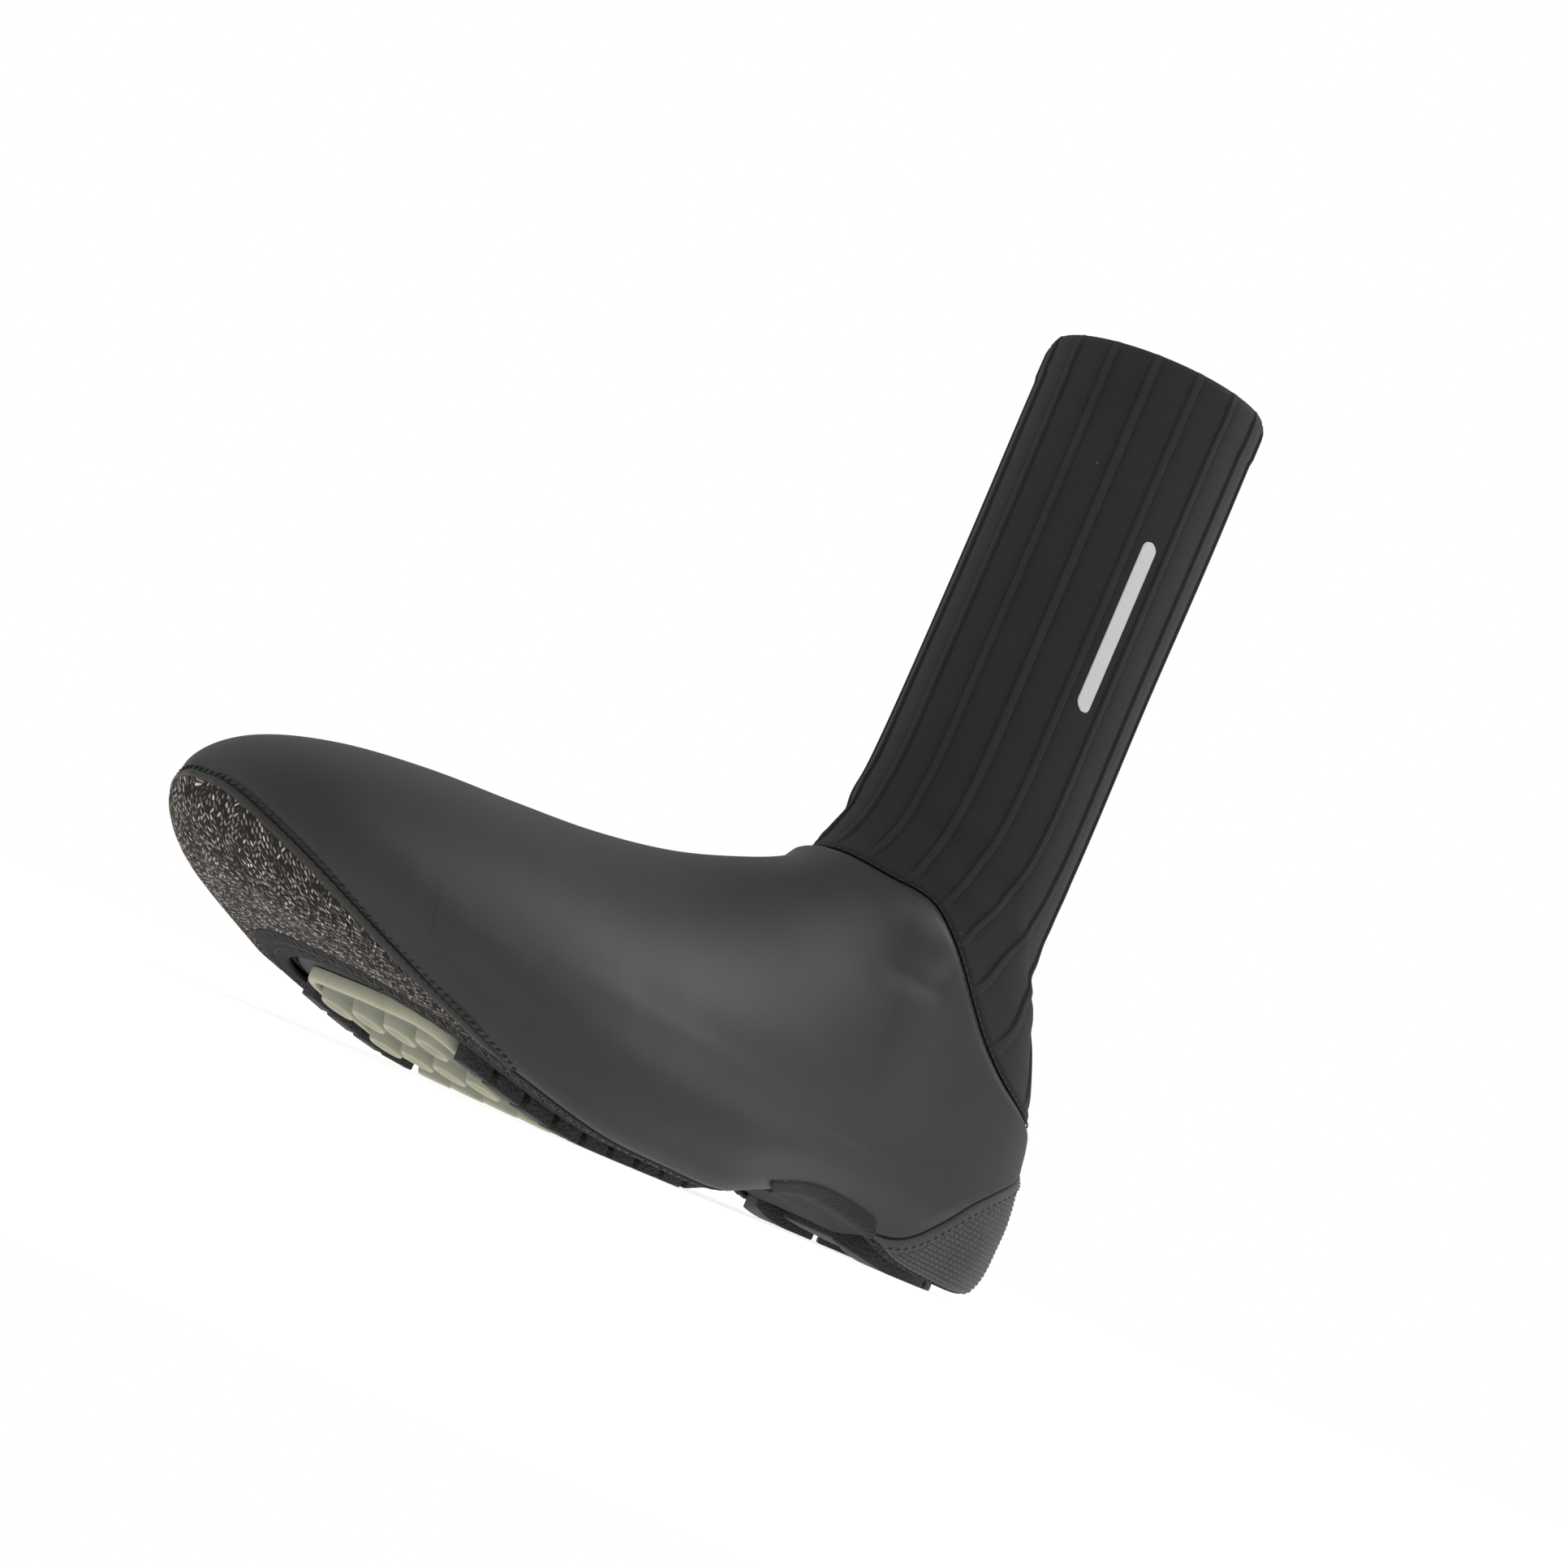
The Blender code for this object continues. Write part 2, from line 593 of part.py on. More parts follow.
def build_grip_pad(finish):
    """Plate with a raised rim, and studs with dished tops joined to it."""
    rings = [pad_ring(0, PAD_BACK), pad_ring(0, PAD_RIM_FACE), pad_ring(PAD_RIM_WIDTH, PAD_RIM_FACE),
             pad_ring(PAD_RIM_WIDTH, PAD_FLOOR)]
    points, faces = stack_mesh(np.array(rings))
    pad = piece("grip_pad", points, faces, finish)
    stud_points, stud_faces = [], []
    angles = np.arange(STUD_SIDES) * 2 * np.pi / STUD_SIDES
    for along in STUD_ROWS:
        for share in STUD_SHARES:
            across = pad_side(along, share)
            first = len(stud_points)
            for radius, lift in STUD_PROFILE:
                for angle in angles:
                    a = along + radius * np.cos(angle)
                    low = np.maximum(lift, -last("under", np.asarray(a)))
                    spot = np.array([a, across + radius * np.sin(angle), last("under", np.asarray(a)) + low])
                    stud_points.append(graded(spot))
            stud = np.array(stud_points[first:]).reshape(len(STUD_PROFILE), STUD_SIDES, 3)
            stud_faces += grid_faces(stud, first, True)
            last_ring = first + (len(STUD_PROFILE) - 1) * STUD_SIDES
            stud_faces.append([first + j for j in range(STUD_SIDES)][::-1])
            stud_faces.append([last_ring + j for j in range(STUD_SIDES)])
    return joined(pad, piece("grip_pad_studs", np.array(stud_points), stud_faces, None))


def build_insole(finish):
    """Sheet on top of the outsole, drawn in from its rim."""
    turn = turns(COLUMNS)
    bed = skin(turn, np.full(COLUMNS, SLAB_LEVELS[0]), np.full(COLUMNS, -UPPER_WALL - SLAB_CLEAR))
    middle = (bed[0] + bed[COLUMNS // 2]) / 2
    spread = np.array([np.ptp(bed[:, 0]), np.ptp(bed[:, 1]), np.inf]) / 2
    low = middle + (bed - middle) * (1 - INSOLE_INSET / spread)
    half = COLUMNS // 2 + 1
    mirrored = bed[-np.arange(half) % COLUMNS]
    bed_up = np.maximum(bed[:half, 2], mirrored[:, 2])
    low[:, 2] = np.interp(low[:, 0], bed[:half, 0], bed_up) + 1.5 * GAP
    points, faces = stack_mesh(np.array([low + np.array([0, 0, INSOLE]), low]))
    return piece("insole", points, faces, finish)


# Strap under the arch: stations along the foot, and heights under the underside, in sample millimetres.
STRAP_AT = np.linspace(70, 118, 7)
WEB_END = 10.0
WEB_DROP = 1.0
FLAP_END = -17.0
FLAP_DROP = 3.0
STRAP_CLEAR = 0.0010
WEB_THICK = 0.0014
FLAP_THICK = 0.0020
WEB_LEVELS = (2.6, 2.1, 1.7, 1.3, 0.9, 0.5)
FLAP_LEVELS = (2.2, 1.8, 1.4, 1.0, 0.6)


def strap_grid(side, levels, ends_at, drop, thickness):
    """Outer and inner grids of a strap that leaves the wall on one side and crosses under the arch."""
    outer, inner = [], []
    for along in STRAP_AT:
        share = (along - EDGE[1, 1]) / (EDGE[1, 0] - EDGE[1, 1])
        turn = np.arccos(1 - 2 * share) / (2 * np.pi)
        turn = turn if side > 0 else 1 - turn
        count = len(levels)
        near = [skin(np.full(count, turn), np.array(levels), np.full(count, push))
                for push in (STRAP_CLEAR + thickness, STRAP_CLEAR)]
        start = near[1][-1][1] / ACROSS
        across = start + (ends_at - start) * np.array([0.2, 0.45, 0.7, 1.0])
        flat = np.column_stack([np.full(4, along), across, np.full(4, last("under", np.array(along)) - drop)])
        flat = graded(flat)
        outer.append(np.concatenate([near[0], flat - np.array([0, 0, thickness])]))
        inner.append(np.concatenate([near[1], flat]))
    return np.array(outer), np.array(inner)


def build_strap(name, side, levels, ends_at, drop, thickness, finish):
    outer, inner = strap_grid(side, levels, ends_at, drop, thickness)
    if side > 0:
        outer, inner = outer[::-1], inner[::-1]
    return wall(name, outer, inner, finish, closed=False)


def main():
    for old in list(bpy.data.objects):
        bpy.data.objects.remove(old)
    neoprene = material("neoprene", (0.062, 0.062, 0.061), 0.62)
    knit = material("knit", (0.028, 0.028, 0.029), 0.85)
    weave = material("toe weave", (0.10, 0.085, 0.075), 0.8)
    grip = material("heel grip", (0.03, 0.03, 0.03), 0.7)
    tape = material("binding tape", (0.012, 0.012, 0.012), 0.9)
    rubber = material("sole rubber", (0.032, 0.032, 0.032), 0.75)
    pad_rubber = material("pad rubber", (0.32, 0.33, 0.27), 0.6)
    webbing = material("webbing", (0.02, 0.02, 0.02), 0.9)
    fleece = material("loop fleece", (0.035, 0.035, 0.035), 1.0)
    foam = material("insole foam", (0.05, 0.05, 0.05), 0.9)
    build_upper(neoprene)
    build_shaft(knit)
    build_toe_panel(weave)
    build_heel_panel(grip)
    build_binding(tape)
    build_outsole(rubber)
    build_grip_pad(pad_rubber)
    build_insole(foam)
    build_strap("strap_webbing", -1, WEB_LEVELS, WEB_END, WEB_DROP, WEB_THICK, webbing)
    build_strap("strap_flap", 1, FLAP_LEVELS, FLAP_END, FLAP_DROP, FLAP_THICK, fleece)


main()
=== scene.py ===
"""Looks of a left cycling overshoe that stands on its sole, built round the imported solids."""

import math

import bmesh
import bpy
import numpy as np
from mathutils import Matrix, Vector


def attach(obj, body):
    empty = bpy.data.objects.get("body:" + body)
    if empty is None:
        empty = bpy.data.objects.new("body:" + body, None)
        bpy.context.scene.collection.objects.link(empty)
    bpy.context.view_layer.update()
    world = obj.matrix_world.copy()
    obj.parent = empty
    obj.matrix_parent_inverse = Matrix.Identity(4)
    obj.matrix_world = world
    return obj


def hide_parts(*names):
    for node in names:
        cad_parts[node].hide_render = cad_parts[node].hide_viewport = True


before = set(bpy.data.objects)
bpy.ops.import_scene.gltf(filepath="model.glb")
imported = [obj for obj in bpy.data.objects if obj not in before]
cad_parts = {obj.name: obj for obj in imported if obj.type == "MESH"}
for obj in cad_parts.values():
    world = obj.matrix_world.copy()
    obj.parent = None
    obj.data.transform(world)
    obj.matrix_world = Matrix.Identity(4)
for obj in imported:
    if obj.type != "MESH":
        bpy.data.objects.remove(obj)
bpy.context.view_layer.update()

# Upper: smooth neoprene skin stretched over the shoe inside it, glued and sewn from shaped panels.
# Its lower edge is bound, its toe and heel are let in from tougher cloth, and the knitted shaft
# is sewn to its top. The last it follows is given by a few short tables in sample millimetres.
MM = 0.001
UPPER_WALL = 0.0030
BOX_CENTRE = 1.3
HALF_LENGTH = 149.5

LAST_COLUMNS = ("along", "half", "centre", "under")
LAST = np.array([
    (0, 36.5, 0.0, 4.4),
    (14, 36.5, 0.0, 3.4),
    (45, 37.0, 0.8, 3.4),
    (58, 37.0, 1.4, 4.6),
    (70, 37.0, 2.0, 8.2),
    (86, 37.6, 3.0, 10.6),
    (105, 39.6, 4.2, 11.0),
    (122, 43.0, 5.0, 8.0),
    (140, 47.8, 4.8, 3.6),
    (165, 53.0, 3.2, 3.4),
    (190, 56.0, 1.6, 4.6),
    (215, 54.5, 0.0, 9.4),
    (240, 49.5, -1.6, 15.6),
    (265, 43.5, -3.0, 21.0),
    (288, 37.5, -4.2, 25.4),
    (302, 34.0, -5.0, 28.4),
])
EDGE_COLUMNS = (
    "front", "back", "heel_inset", "ball_inset", "shift", "back_lift", "side_lift", "front_lift", "toe_round")
EDGE = np.array([
    (243, 9.5, 8.5, 15.5, -1.5, 0.0, 0.0, 0.0, 20),
    (256, 3.4, 2.8, 5.0, -0.5, 0.0, 0.2, 0.0, 32),
    (272, 1.4, 1.2, 1.6, 0.0, 2.4, 2.6, 0.5, 44),
    (286, 0.4, 0.2, 0.2, 0.0, 7.0, 7.5, 2.4, 50),
    (295.5, 0.0, 0.0, 0.0, 0.0, 14.0, 14.5, 7.0, 50),
])
# The foot's rows: front, front_up, back, back_up, the leg's share and the leg's half width.
FOOT = np.array([
    (299, 41.0, 0.5, 24.0, 0.0, 36.0),
    (295.5, 51.0, 1.2, 30.0, 0.0, 36.0),
    (284, 60.5, 2.2, 34.5, 0.0, 36.0),
    (264, 67.0, 3.2, 38.5, 0.0, 36.0),
    (239, 70.8, 4.4, 42.0, 0.0, 36.0),
    (211, 73.0, 5.6, 45.5, 0.0, 36.0),
    (183, 75.6, 7.0, 49.0, 0.0, 36.0),
    (157, 80.2, 8.4, 52.5, 0.0, 36.0),
    (134, 87.5, 10.2, 56.0, 0.15, 36.0),
    (116, 95.0, 12.6, 60.5, 0.4, 36.0),
    (104.5, 103.0, 16.4, 66.5, 0.7, 35.5),
    (98.5, 111.5, 22.4, 74.5, 0.9, 34.5),
    (95, 122.0, 28.6, 84.0, 1.0, 33.5),
])
# The leg's rows: the same without the share, which is 1 there.
LEG = np.array([
    (93.6, 136, 30.4, 99, 32.8),
    (93.2, 158, 29.8, 127, 32.4),
    (93.0, 190, 29.2, 172, 32.2),
    (93.0, 226, 28.8, 218, 32.2),
    (93.0, 262, 28.6, 262, 32.2),
])
BODY = np.concatenate([FOOT, np.insert(LEG, 4, 1.0, axis=1)])
EDGE_RINGS = len(EDGE)
FOOT_RINGS = len(FOOT)
RINGS = EDGE_RINGS + FOOT_RINGS + len(LEG)
HEEL_ENDS = 60.0
BALL_STARTS = 130.0
SIDE_HEIGHT = 18.0
RISE_BEND = 0.15
HEEL_ROUND = 34.0
BODY_HEEL_ROUND = 44.0
BODY_TOE_ROUND = 62.0
SHAFT_CENTRE = 1.0
FULL_AT = np.array([0, 60, 110, 150, 190, 230, 270, 302])
FULLNESS = np.array([2.0, 2.0, 1.5, 1.35, 1.5, 1.8, 2.2, 2.4])
RIDGE_AT = np.array([0, 90, 130, 190, 240, 302])
RIDGE_SHIFT = np.array([0, 0, 2.0, 5.0, 4.0, 0.0])
BINDING_RING = 1.0
SEAM_AT = np.array([0.0, 0.116, 0.158, 0.204, 0.272, 0.32, 0.365, 0.42, 0.5])
SEAM_LEVELS = np.array([11.7, 11.85, 12.25, 12.95, 14.0, 14.65, 15.05, 14.85, 14.8])
TOE_RISE = 4.5
TOE_HALF_TURN = 0.123
HEEL_RISE = 9.6
HEEL_HALF_TURN = 0.172
HEEL_POWER = 1.35


def spline(knots, values, at):
    """Smooth curve through a table, with the slope of its neighbours at each row."""
    slopes = np.gradient(values, knots)
    i = np.clip(np.searchsorted(knots, at) - 1, 0, len(knots) - 2)
    width = knots[i + 1] - knots[i]
    t = np.clip((at - knots[i]) / width, 0, 1)
    start = (1 + 2 * t) * (1 - t) ** 2 * values[i] + t * (1 - t) ** 2 * width * slopes[i]
    end = t * t * (3 - 2 * t) * values[i + 1] + t * t * (t - 1) * width * slopes[i + 1]
    return start + end


def last(name, along):
    return spline(LAST[:, 0], LAST[:, LAST_COLUMNS.index(name)], along)


crest_rows = np.linspace(FOOT_RINGS - 1, 0, 600)
CREST = np.stack([spline(np.arange(FOOT_RINGS), FOOT[:, k], crest_rows) for k in (0, 1)])
SHIN_RISE = 0.8
SHIN_BEND = 8.0


def crest(along):
    """Height of the ridge of the foot over a station, easing off as it rises into the shin."""
    short = np.maximum(CREST[0, 0] - along, 0)
    steep = (CREST[1, 0] - CREST[1, 1]) / (CREST[0, 1] - CREST[0, 0]) - SHIN_RISE
    easing = steep * SHIN_BEND * (1 - np.exp(-short / SHIN_BEND))
    return np.interp(along, *CREST) + SHIN_RISE * short + easing


def rounded(share, power=2):
    return 1 - (1 - np.clip(share, 0, 1)) ** power


def smooth_step(share):
    t = np.clip(share, 0, 1)
    return t * t * (3 - 2 * t)


def edge_values(row):
    """Values of a row of the edge table, by the names of their columns."""
    return dict(zip(EDGE_COLUMNS, np.moveaxis(EDGE[row], -1, 0)))


def edge_sides(row, along, front, back, inset_more):
    """Centre and half width of an edge ring at a station, drawn in by inset_more millimetres."""
    value = edge_values(row)
    ball = smooth_step((along - HEEL_ENDS) / (BALL_STARTS - HEEL_ENDS))
    inset = value["heel_inset"] + (value["ball_inset"] - value["heel_inset"]) * ball + inset_more
    centre = last("centre", along) + value["shift"] * ball
    closing = rounded((front - along) / value["toe_round"]) * rounded((along - back) / HEEL_ROUND)
    return centre, (last("half", along) - inset) * np.sqrt(closing)


def edge_ring(row, turn, inset_more=0.0):
    """A ring of the edge table, drawn in by inset_more millimetres."""
    value = edge_values(row)
    front = value["front"] - inset_more
    back = value["back"] + inset_more
    s = (1 - np.cos(2 * np.pi * turn)) / 2
    along = back + (front - back) * s
    middle = 2 * value["side_lift"] - (value["back_lift"] + value["front_lift"]) / 2
    lift = value["back_lift"] * (1 - s) ** 2 + 2 * middle * s * (1 - s) + value["front_lift"] * s * s
    side = np.sign(np.sin(2 * np.pi * turn))
    centre, half = edge_sides(row, along, front, back, inset_more)
    return np.stack([along, centre + side * half, last("under", along) + lift], -1)


def body_ring(front, front_up, back, back_up, leg, leg_half, turn):
    """A tilted ring from a point on the back to a point on the ridge or the shin."""
    s = (1 - np.cos(2 * np.pi * turn)) / 2
    along = back + (front - back) * s
    up = back_up + (front_up - back_up) * s
    side_top = last("under", along) + SIDE_HEIGHT
    over = (up - side_top) / np.maximum(crest(along) - side_top, 1)
    rise = np.clip((over + np.hypot(over, RISE_BEND)) / (1 + math.hypot(1, RISE_BEND)), 0, 1)
    arch = 1 - rise ** spline(FULL_AT, FULLNESS, along)
    toe_closing = rounded((FOOT[0, 0] - along) / BODY_TOE_ROUND, 3)
    heel_closing = rounded((along - back) / BODY_HEEL_ROUND, 3)
    foot_half = last("half", along) * np.sqrt(arch * toe_closing * heel_closing)
    oval_half = leg_half * np.sqrt(np.clip(1 - (2 * s - 1) ** 2, 0, 1))
    half = (1 - leg) * foot_half + leg * oval_half
    ridge = last("centre", along) - spline(RIDGE_AT, RIDGE_SHIFT, along) * rise**2
    centre = (1 - leg) * ridge + leg * SHAFT_CENTRE
    side = np.sign(np.sin(2 * np.pi * turn))
    return np.stack([along, centre + side * half, up], -1)


def level_ring(level, turn):
    """Point of the ring at any level of the foot or the leg, from its rows drawn through smoothly."""
    row = np.clip(level - EDGE_RINGS, 0, len(BODY) - 1)
    values = (spline(np.arange(len(BODY)), column, row) for column in BODY.T)
    return body_ring(*values, turn)


def ring(index, turn):
    """Point of a whole ring at a turn: 0 is the back, 0.25 the outer side, 0.5 the front."""
    edge = edge_ring(np.clip(index, 0, EDGE_RINGS - 1), turn)
    return np.where((index < EDGE_RINGS)[..., None], edge, level_ring(index.astype(float), turn))


def form(turn, level):
    """Outer surface of the last in sample millimetres: a smooth loft through the rings."""
    turn, level = np.broadcast_arrays(np.asarray(turn, float), np.asarray(level, float))
    first = np.clip(np.floor(level).astype(int), 0, EDGE_RINGS)
    t = (np.minimum(level, EDGE_RINGS + 1) - first)[..., None]
    a, b, c, d = (ring(np.clip(first + step, 0, RINGS - 1), turn) for step in (-1, 0, 1, 2))
    low = b + 0.5 * t * (c - a + t * (2 * a - 5 * b + 4 * c - d + t * (3 * (b - c) + d - a)))
    return low + (level_ring(level, turn) - low) * smooth_step(level - EDGE_RINGS)[..., None]


def unit(vector):
    return vector / np.linalg.norm(vector, axis=-1, keepdims=True)


def skin_frame(turn, level):
    """Point of the form in millimetres, with its outward normal and its upward direction."""
    turn, level = np.broadcast_arrays(np.asarray(turn, float), np.asarray(level, float))
    step = 1e-3
    around = form(turn + step, level) - form(turn - step, level)
    above, below = (form(turn, np.clip(level + way, 0, RINGS - 1)) for way in (step, -step))
    return form(turn, level), unit(np.cross(above - below, around)), unit(above - below)


def skin(turn, level, offset=0.0):
    """Point in millimetres, pushed out of the form by offset millimetres."""
    point, normal, _ = skin_frame(turn, level)
    return point + normal * np.broadcast_to(np.asarray(offset, float), point.shape[:-1])[..., None]


def placed(point):
    """From (along, across, up) in millimetres to the frame in metres."""
    along, across, up = np.moveaxis(np.asarray(point, float), -1, 0)
    return np.stack([HALF_LENGTH - along, BOX_CENTRE - across, up], -1) * MM


def toe_line(turn):
    """Level of the seam over the toe cloth, which runs out into the binding on both sides."""
    return BINDING_RING + TOE_RISE * np.sqrt(1 - np.clip(np.abs(turn - 0.5) / TOE_HALF_TURN, 0, 1) ** 2)


def heel_line(turn):
    """Level of the seam over the heel cloth, which runs out into the binding on both sides."""
    from_back = 0.5 - np.abs(turn - 0.5)
    return BINDING_RING + HEEL_RISE * (1 - np.clip(from_back / HEEL_HALF_TURN, 0, 1) ** HEEL_POWER)


def panel_line(turn):
    return np.maximum(toe_line(turn), heel_line(turn))


def ankle_line(turn):
    """Level of the seam to the shaft: low at the back, highest beside the collar of the shoe inside."""
    return spline(SEAM_AT, SEAM_LEVELS, 0.5 - np.abs(turn % 1.0 - 0.5))


def run_lengths(grid, axis):
    """Distance in millimetres along a grid of points, from its first row or column."""
    steps = np.linalg.norm(np.diff(grid, axis=axis), axis=-1)
    start = np.zeros_like(np.take(steps, [0], axis=axis))
    return np.concatenate([start, np.cumsum(steps, axis=axis)], axis=axis)


def quads(rows, columns, wrap_rows, wrap_columns):
    """Corner rows and columns of each cell of a grid, as two arrays of four."""
    down = np.arange(rows if wrap_rows else rows - 1)
    across = np.arange(columns if wrap_columns else columns - 1)
    i, j = (index.ravel() for index in np.meshgrid(down, across, indexing="ij"))
    return np.stack([i, i, i + 1, i + 1], -1), np.stack([j, j + 1, j + 1, j], -1)


def linked(name, mesh, sharp=None):
    """Smooth object of a mesh in the scene, with its edges kept sharp over an angle."""
    mesh.shade_smooth()
    if sharp:
        mesh.set_sharp_from_angle(angle=sharp)
    made = bpy.data.objects.new(name, mesh)
    bpy.context.scene.collection.objects.link(made)
    return made


def mesh_piece(name, points, faces, uvs=None, sharp=None):
    """Object from points in millimetres, with normals turned outwards and a map in millimetres."""
    mesh = bpy.data.meshes.new(name)
    mesh.from_pydata(placed(points), [], [tuple(face) for face in faces])
    if uvs is not None:
        mesh.uv_layers.new(name="cloth").data.foreach_set("uv", np.asarray(uvs, np.float32).ravel())
    shell = bmesh.new()
    shell.from_mesh(mesh)
    bmesh.ops.recalc_face_normals(shell, faces=shell.faces)
    if shell.calc_volume(signed=True) < 0:
        bmesh.ops.reverse_faces(shell, faces=shell.faces)
    shell.to_mesh(mesh)
    shell.free()
    return linked(name, mesh, sharp)


def tube_piece(name, rings, u, v):
    """Closed skin through rings that run up the outside and down the inside, with a map (u, v)."""
    rows, columns = rings.shape[:2]
    i, j = quads(rows, columns, True, True)
    faces = (i % rows) * columns + j % columns
    uvs = np.stack([np.append(u, u[-1] + u[1] - u[0])[j], v[i % rows, j % columns]], -1)
    return mesh_piece(name, rings.reshape(-1, 3), faces.tolist(), uvs)


def patch_piece(name, outer, inner, u, v):
    """Closed thin patch between an outer and an inner grid, with a map (u, v) over both."""
    rows, columns = outer.shape[:2]
    count = rows * columns
    i, j = quads(rows, columns, False, False)
    cells = i * columns + j
    number = np.arange(count).reshape(rows, columns)
    rim = np.concatenate([number[0], number[1:, -1], number[-1, -2::-1], number[-2:0:-1, 0]])
    rim_after = np.roll(rim, -1)
    strip = np.stack([rim_after, rim, rim + count, rim_after + count], -1)
    corners = np.concatenate([cells, cells[:, ::-1] + count, strip])
    uvs = np.stack([u, v], -1).reshape(-1, 2)[corners % count].reshape(-1, 2)
    points = np.concatenate([outer.reshape(-1, 3), inner.reshape(-1, 3)])
    return mesh_piece(name, points, corners.tolist(), uvs)


# Creases and swells of the worn cover: a row for each soft ridge, or trough where height is negative.
# A row gives side, height, width and path. The path lies in the side view, as (along, up), on the
# outer side (1), on the inner side (-1) or on both (0).
SIDE_BLEND = 24.0
CREASES = (
    (1, 2.4, 8.0, ((100, 91), (88, 87.5))),
    (1, -1.2, 4.2, ((97, 76.5), (84, 76.5))),
    (-1, 2.0, 7.0, ((102, 95), (88, 90))),
    (-1, -1.0, 5.0, ((98, 79), (84, 78))),
    (0, 0.9, 6.5, ((30, 20), (70, 23), (140, 20), (190, 23), (230, 31), (262, 40))),
    (0, -0.6, 8.0, ((60, 36), (120, 34), (190, 38))),
    (0, 0.7, 7.0, ((14, 48), (44, 56), (66, 66))),
)


def swell(height, distance, width):
    """Soft ridge of a height and a half width, at a distance from its middle."""
    return height * np.exp(-((distance / width) ** 2))


def creased(point):
    """Height of the creases over the form, in millimetres."""
    total = np.zeros(point.shape[:-1])
    for side, height, width, path in CREASES:
        nearest = np.full(total.shape, np.inf)
        for start, end in zip(np.array(path, float), np.array(path[1:], float)):
            run = end - start
            away = point[..., [0, 2]] - start
            share = np.clip((away @ run) / (run @ run), 0, 1)
            nearest = np.minimum(nearest, np.linalg.norm(away - share[..., None] * run, axis=-1))
        there = 1.0 if side == 0 else smooth_step(0.5 + side * (point[..., 1] - SHAFT_CENTRE) / SIDE_BLEND)
        total += swell(height, nearest, width) * there
    return total


def slack(point):
    """Slight unevenness of stretched cloth, in millimetres."""
    along, across, up = np.moveaxis(point, -1, 0)
    return 0.16 * np.sin(along / 23 - up / 17 + across / 29) + 0.10 * np.sin(along / 15 + up / 12)


UPPER_COLUMNS = 420
UPPER_ROWS = 150
UPPER_AROUND = 640.0
LINING_ROWS = 40
LOWEST_LEVEL = 0.1
CREASE_FADES = (6.0, 4.0)
SEAM_GAP = 0.02
SEAM_DEPTH = 1.3
SEAM_ROUND = 0.9
TOE_SEAM_ROUND = 1.9
TOP_DEPTH = 1.1
TOP_ROUND = 1.4
TUCK_DEPTH = 1.9
TUCK_SHARES = (1.0, 0.6, 0.25, 0.0)
upper_turn = np.arange(UPPER_COLUMNS) / UPPER_COLUMNS
upper_start = np.maximum(panel_line(upper_turn), BINDING_RING) + SEAM_GAP
share = np.linspace(0, 1, UPPER_ROWS)[:, None]
share = share**1.5 * (1 - 0.25 * share) / 0.75
upper_top = ankle_line(upper_turn) - SEAM_GAP
upper_level = upper_start + (upper_top - upper_start) * share
upper_point, upper_normal, _ = skin_frame(np.broadcast_to(upper_turn, upper_level.shape), upper_level)
upper_run = run_lengths(upper_point, 0)
from_top = upper_run[-1] - upper_run
upper_height = creased(upper_point) + slack(upper_point)
upper_height *= smooth_step(upper_run / CREASE_FADES[0]) * smooth_step(from_top / CREASE_FADES[1])
seam_round = np.where(np.abs(upper_turn - 0.5) < TOE_HALF_TURN, TOE_SEAM_ROUND, SEAM_ROUND)
upper_height -= swell(SEAM_DEPTH, upper_run, seam_round)
upper_height -= swell(TOP_DEPTH, from_top, TOP_ROUND)
outer = upper_point + upper_normal * upper_height[..., None]
low_level = upper_start - SEAM_GAP
tuck = [skin(upper_turn, low_level - (upper_start - LOWEST_LEVEL) * s, -TUCK_DEPTH) for s in TUCK_SHARES]
high_level = upper_top - LOWEST_LEVEL
lining_shares = np.linspace(1, 0, LINING_ROWS)
lining = [skin(upper_turn, LOWEST_LEVEL + high_level * s, -UPPER_WALL / MM) for s in lining_shares]
rings = np.concatenate([tuck, outer, lining])
upper = tube_piece("upper_skin", rings, upper_turn * UPPER_AROUND, run_lengths(rings, 0))
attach(upper, "root")
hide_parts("upper")


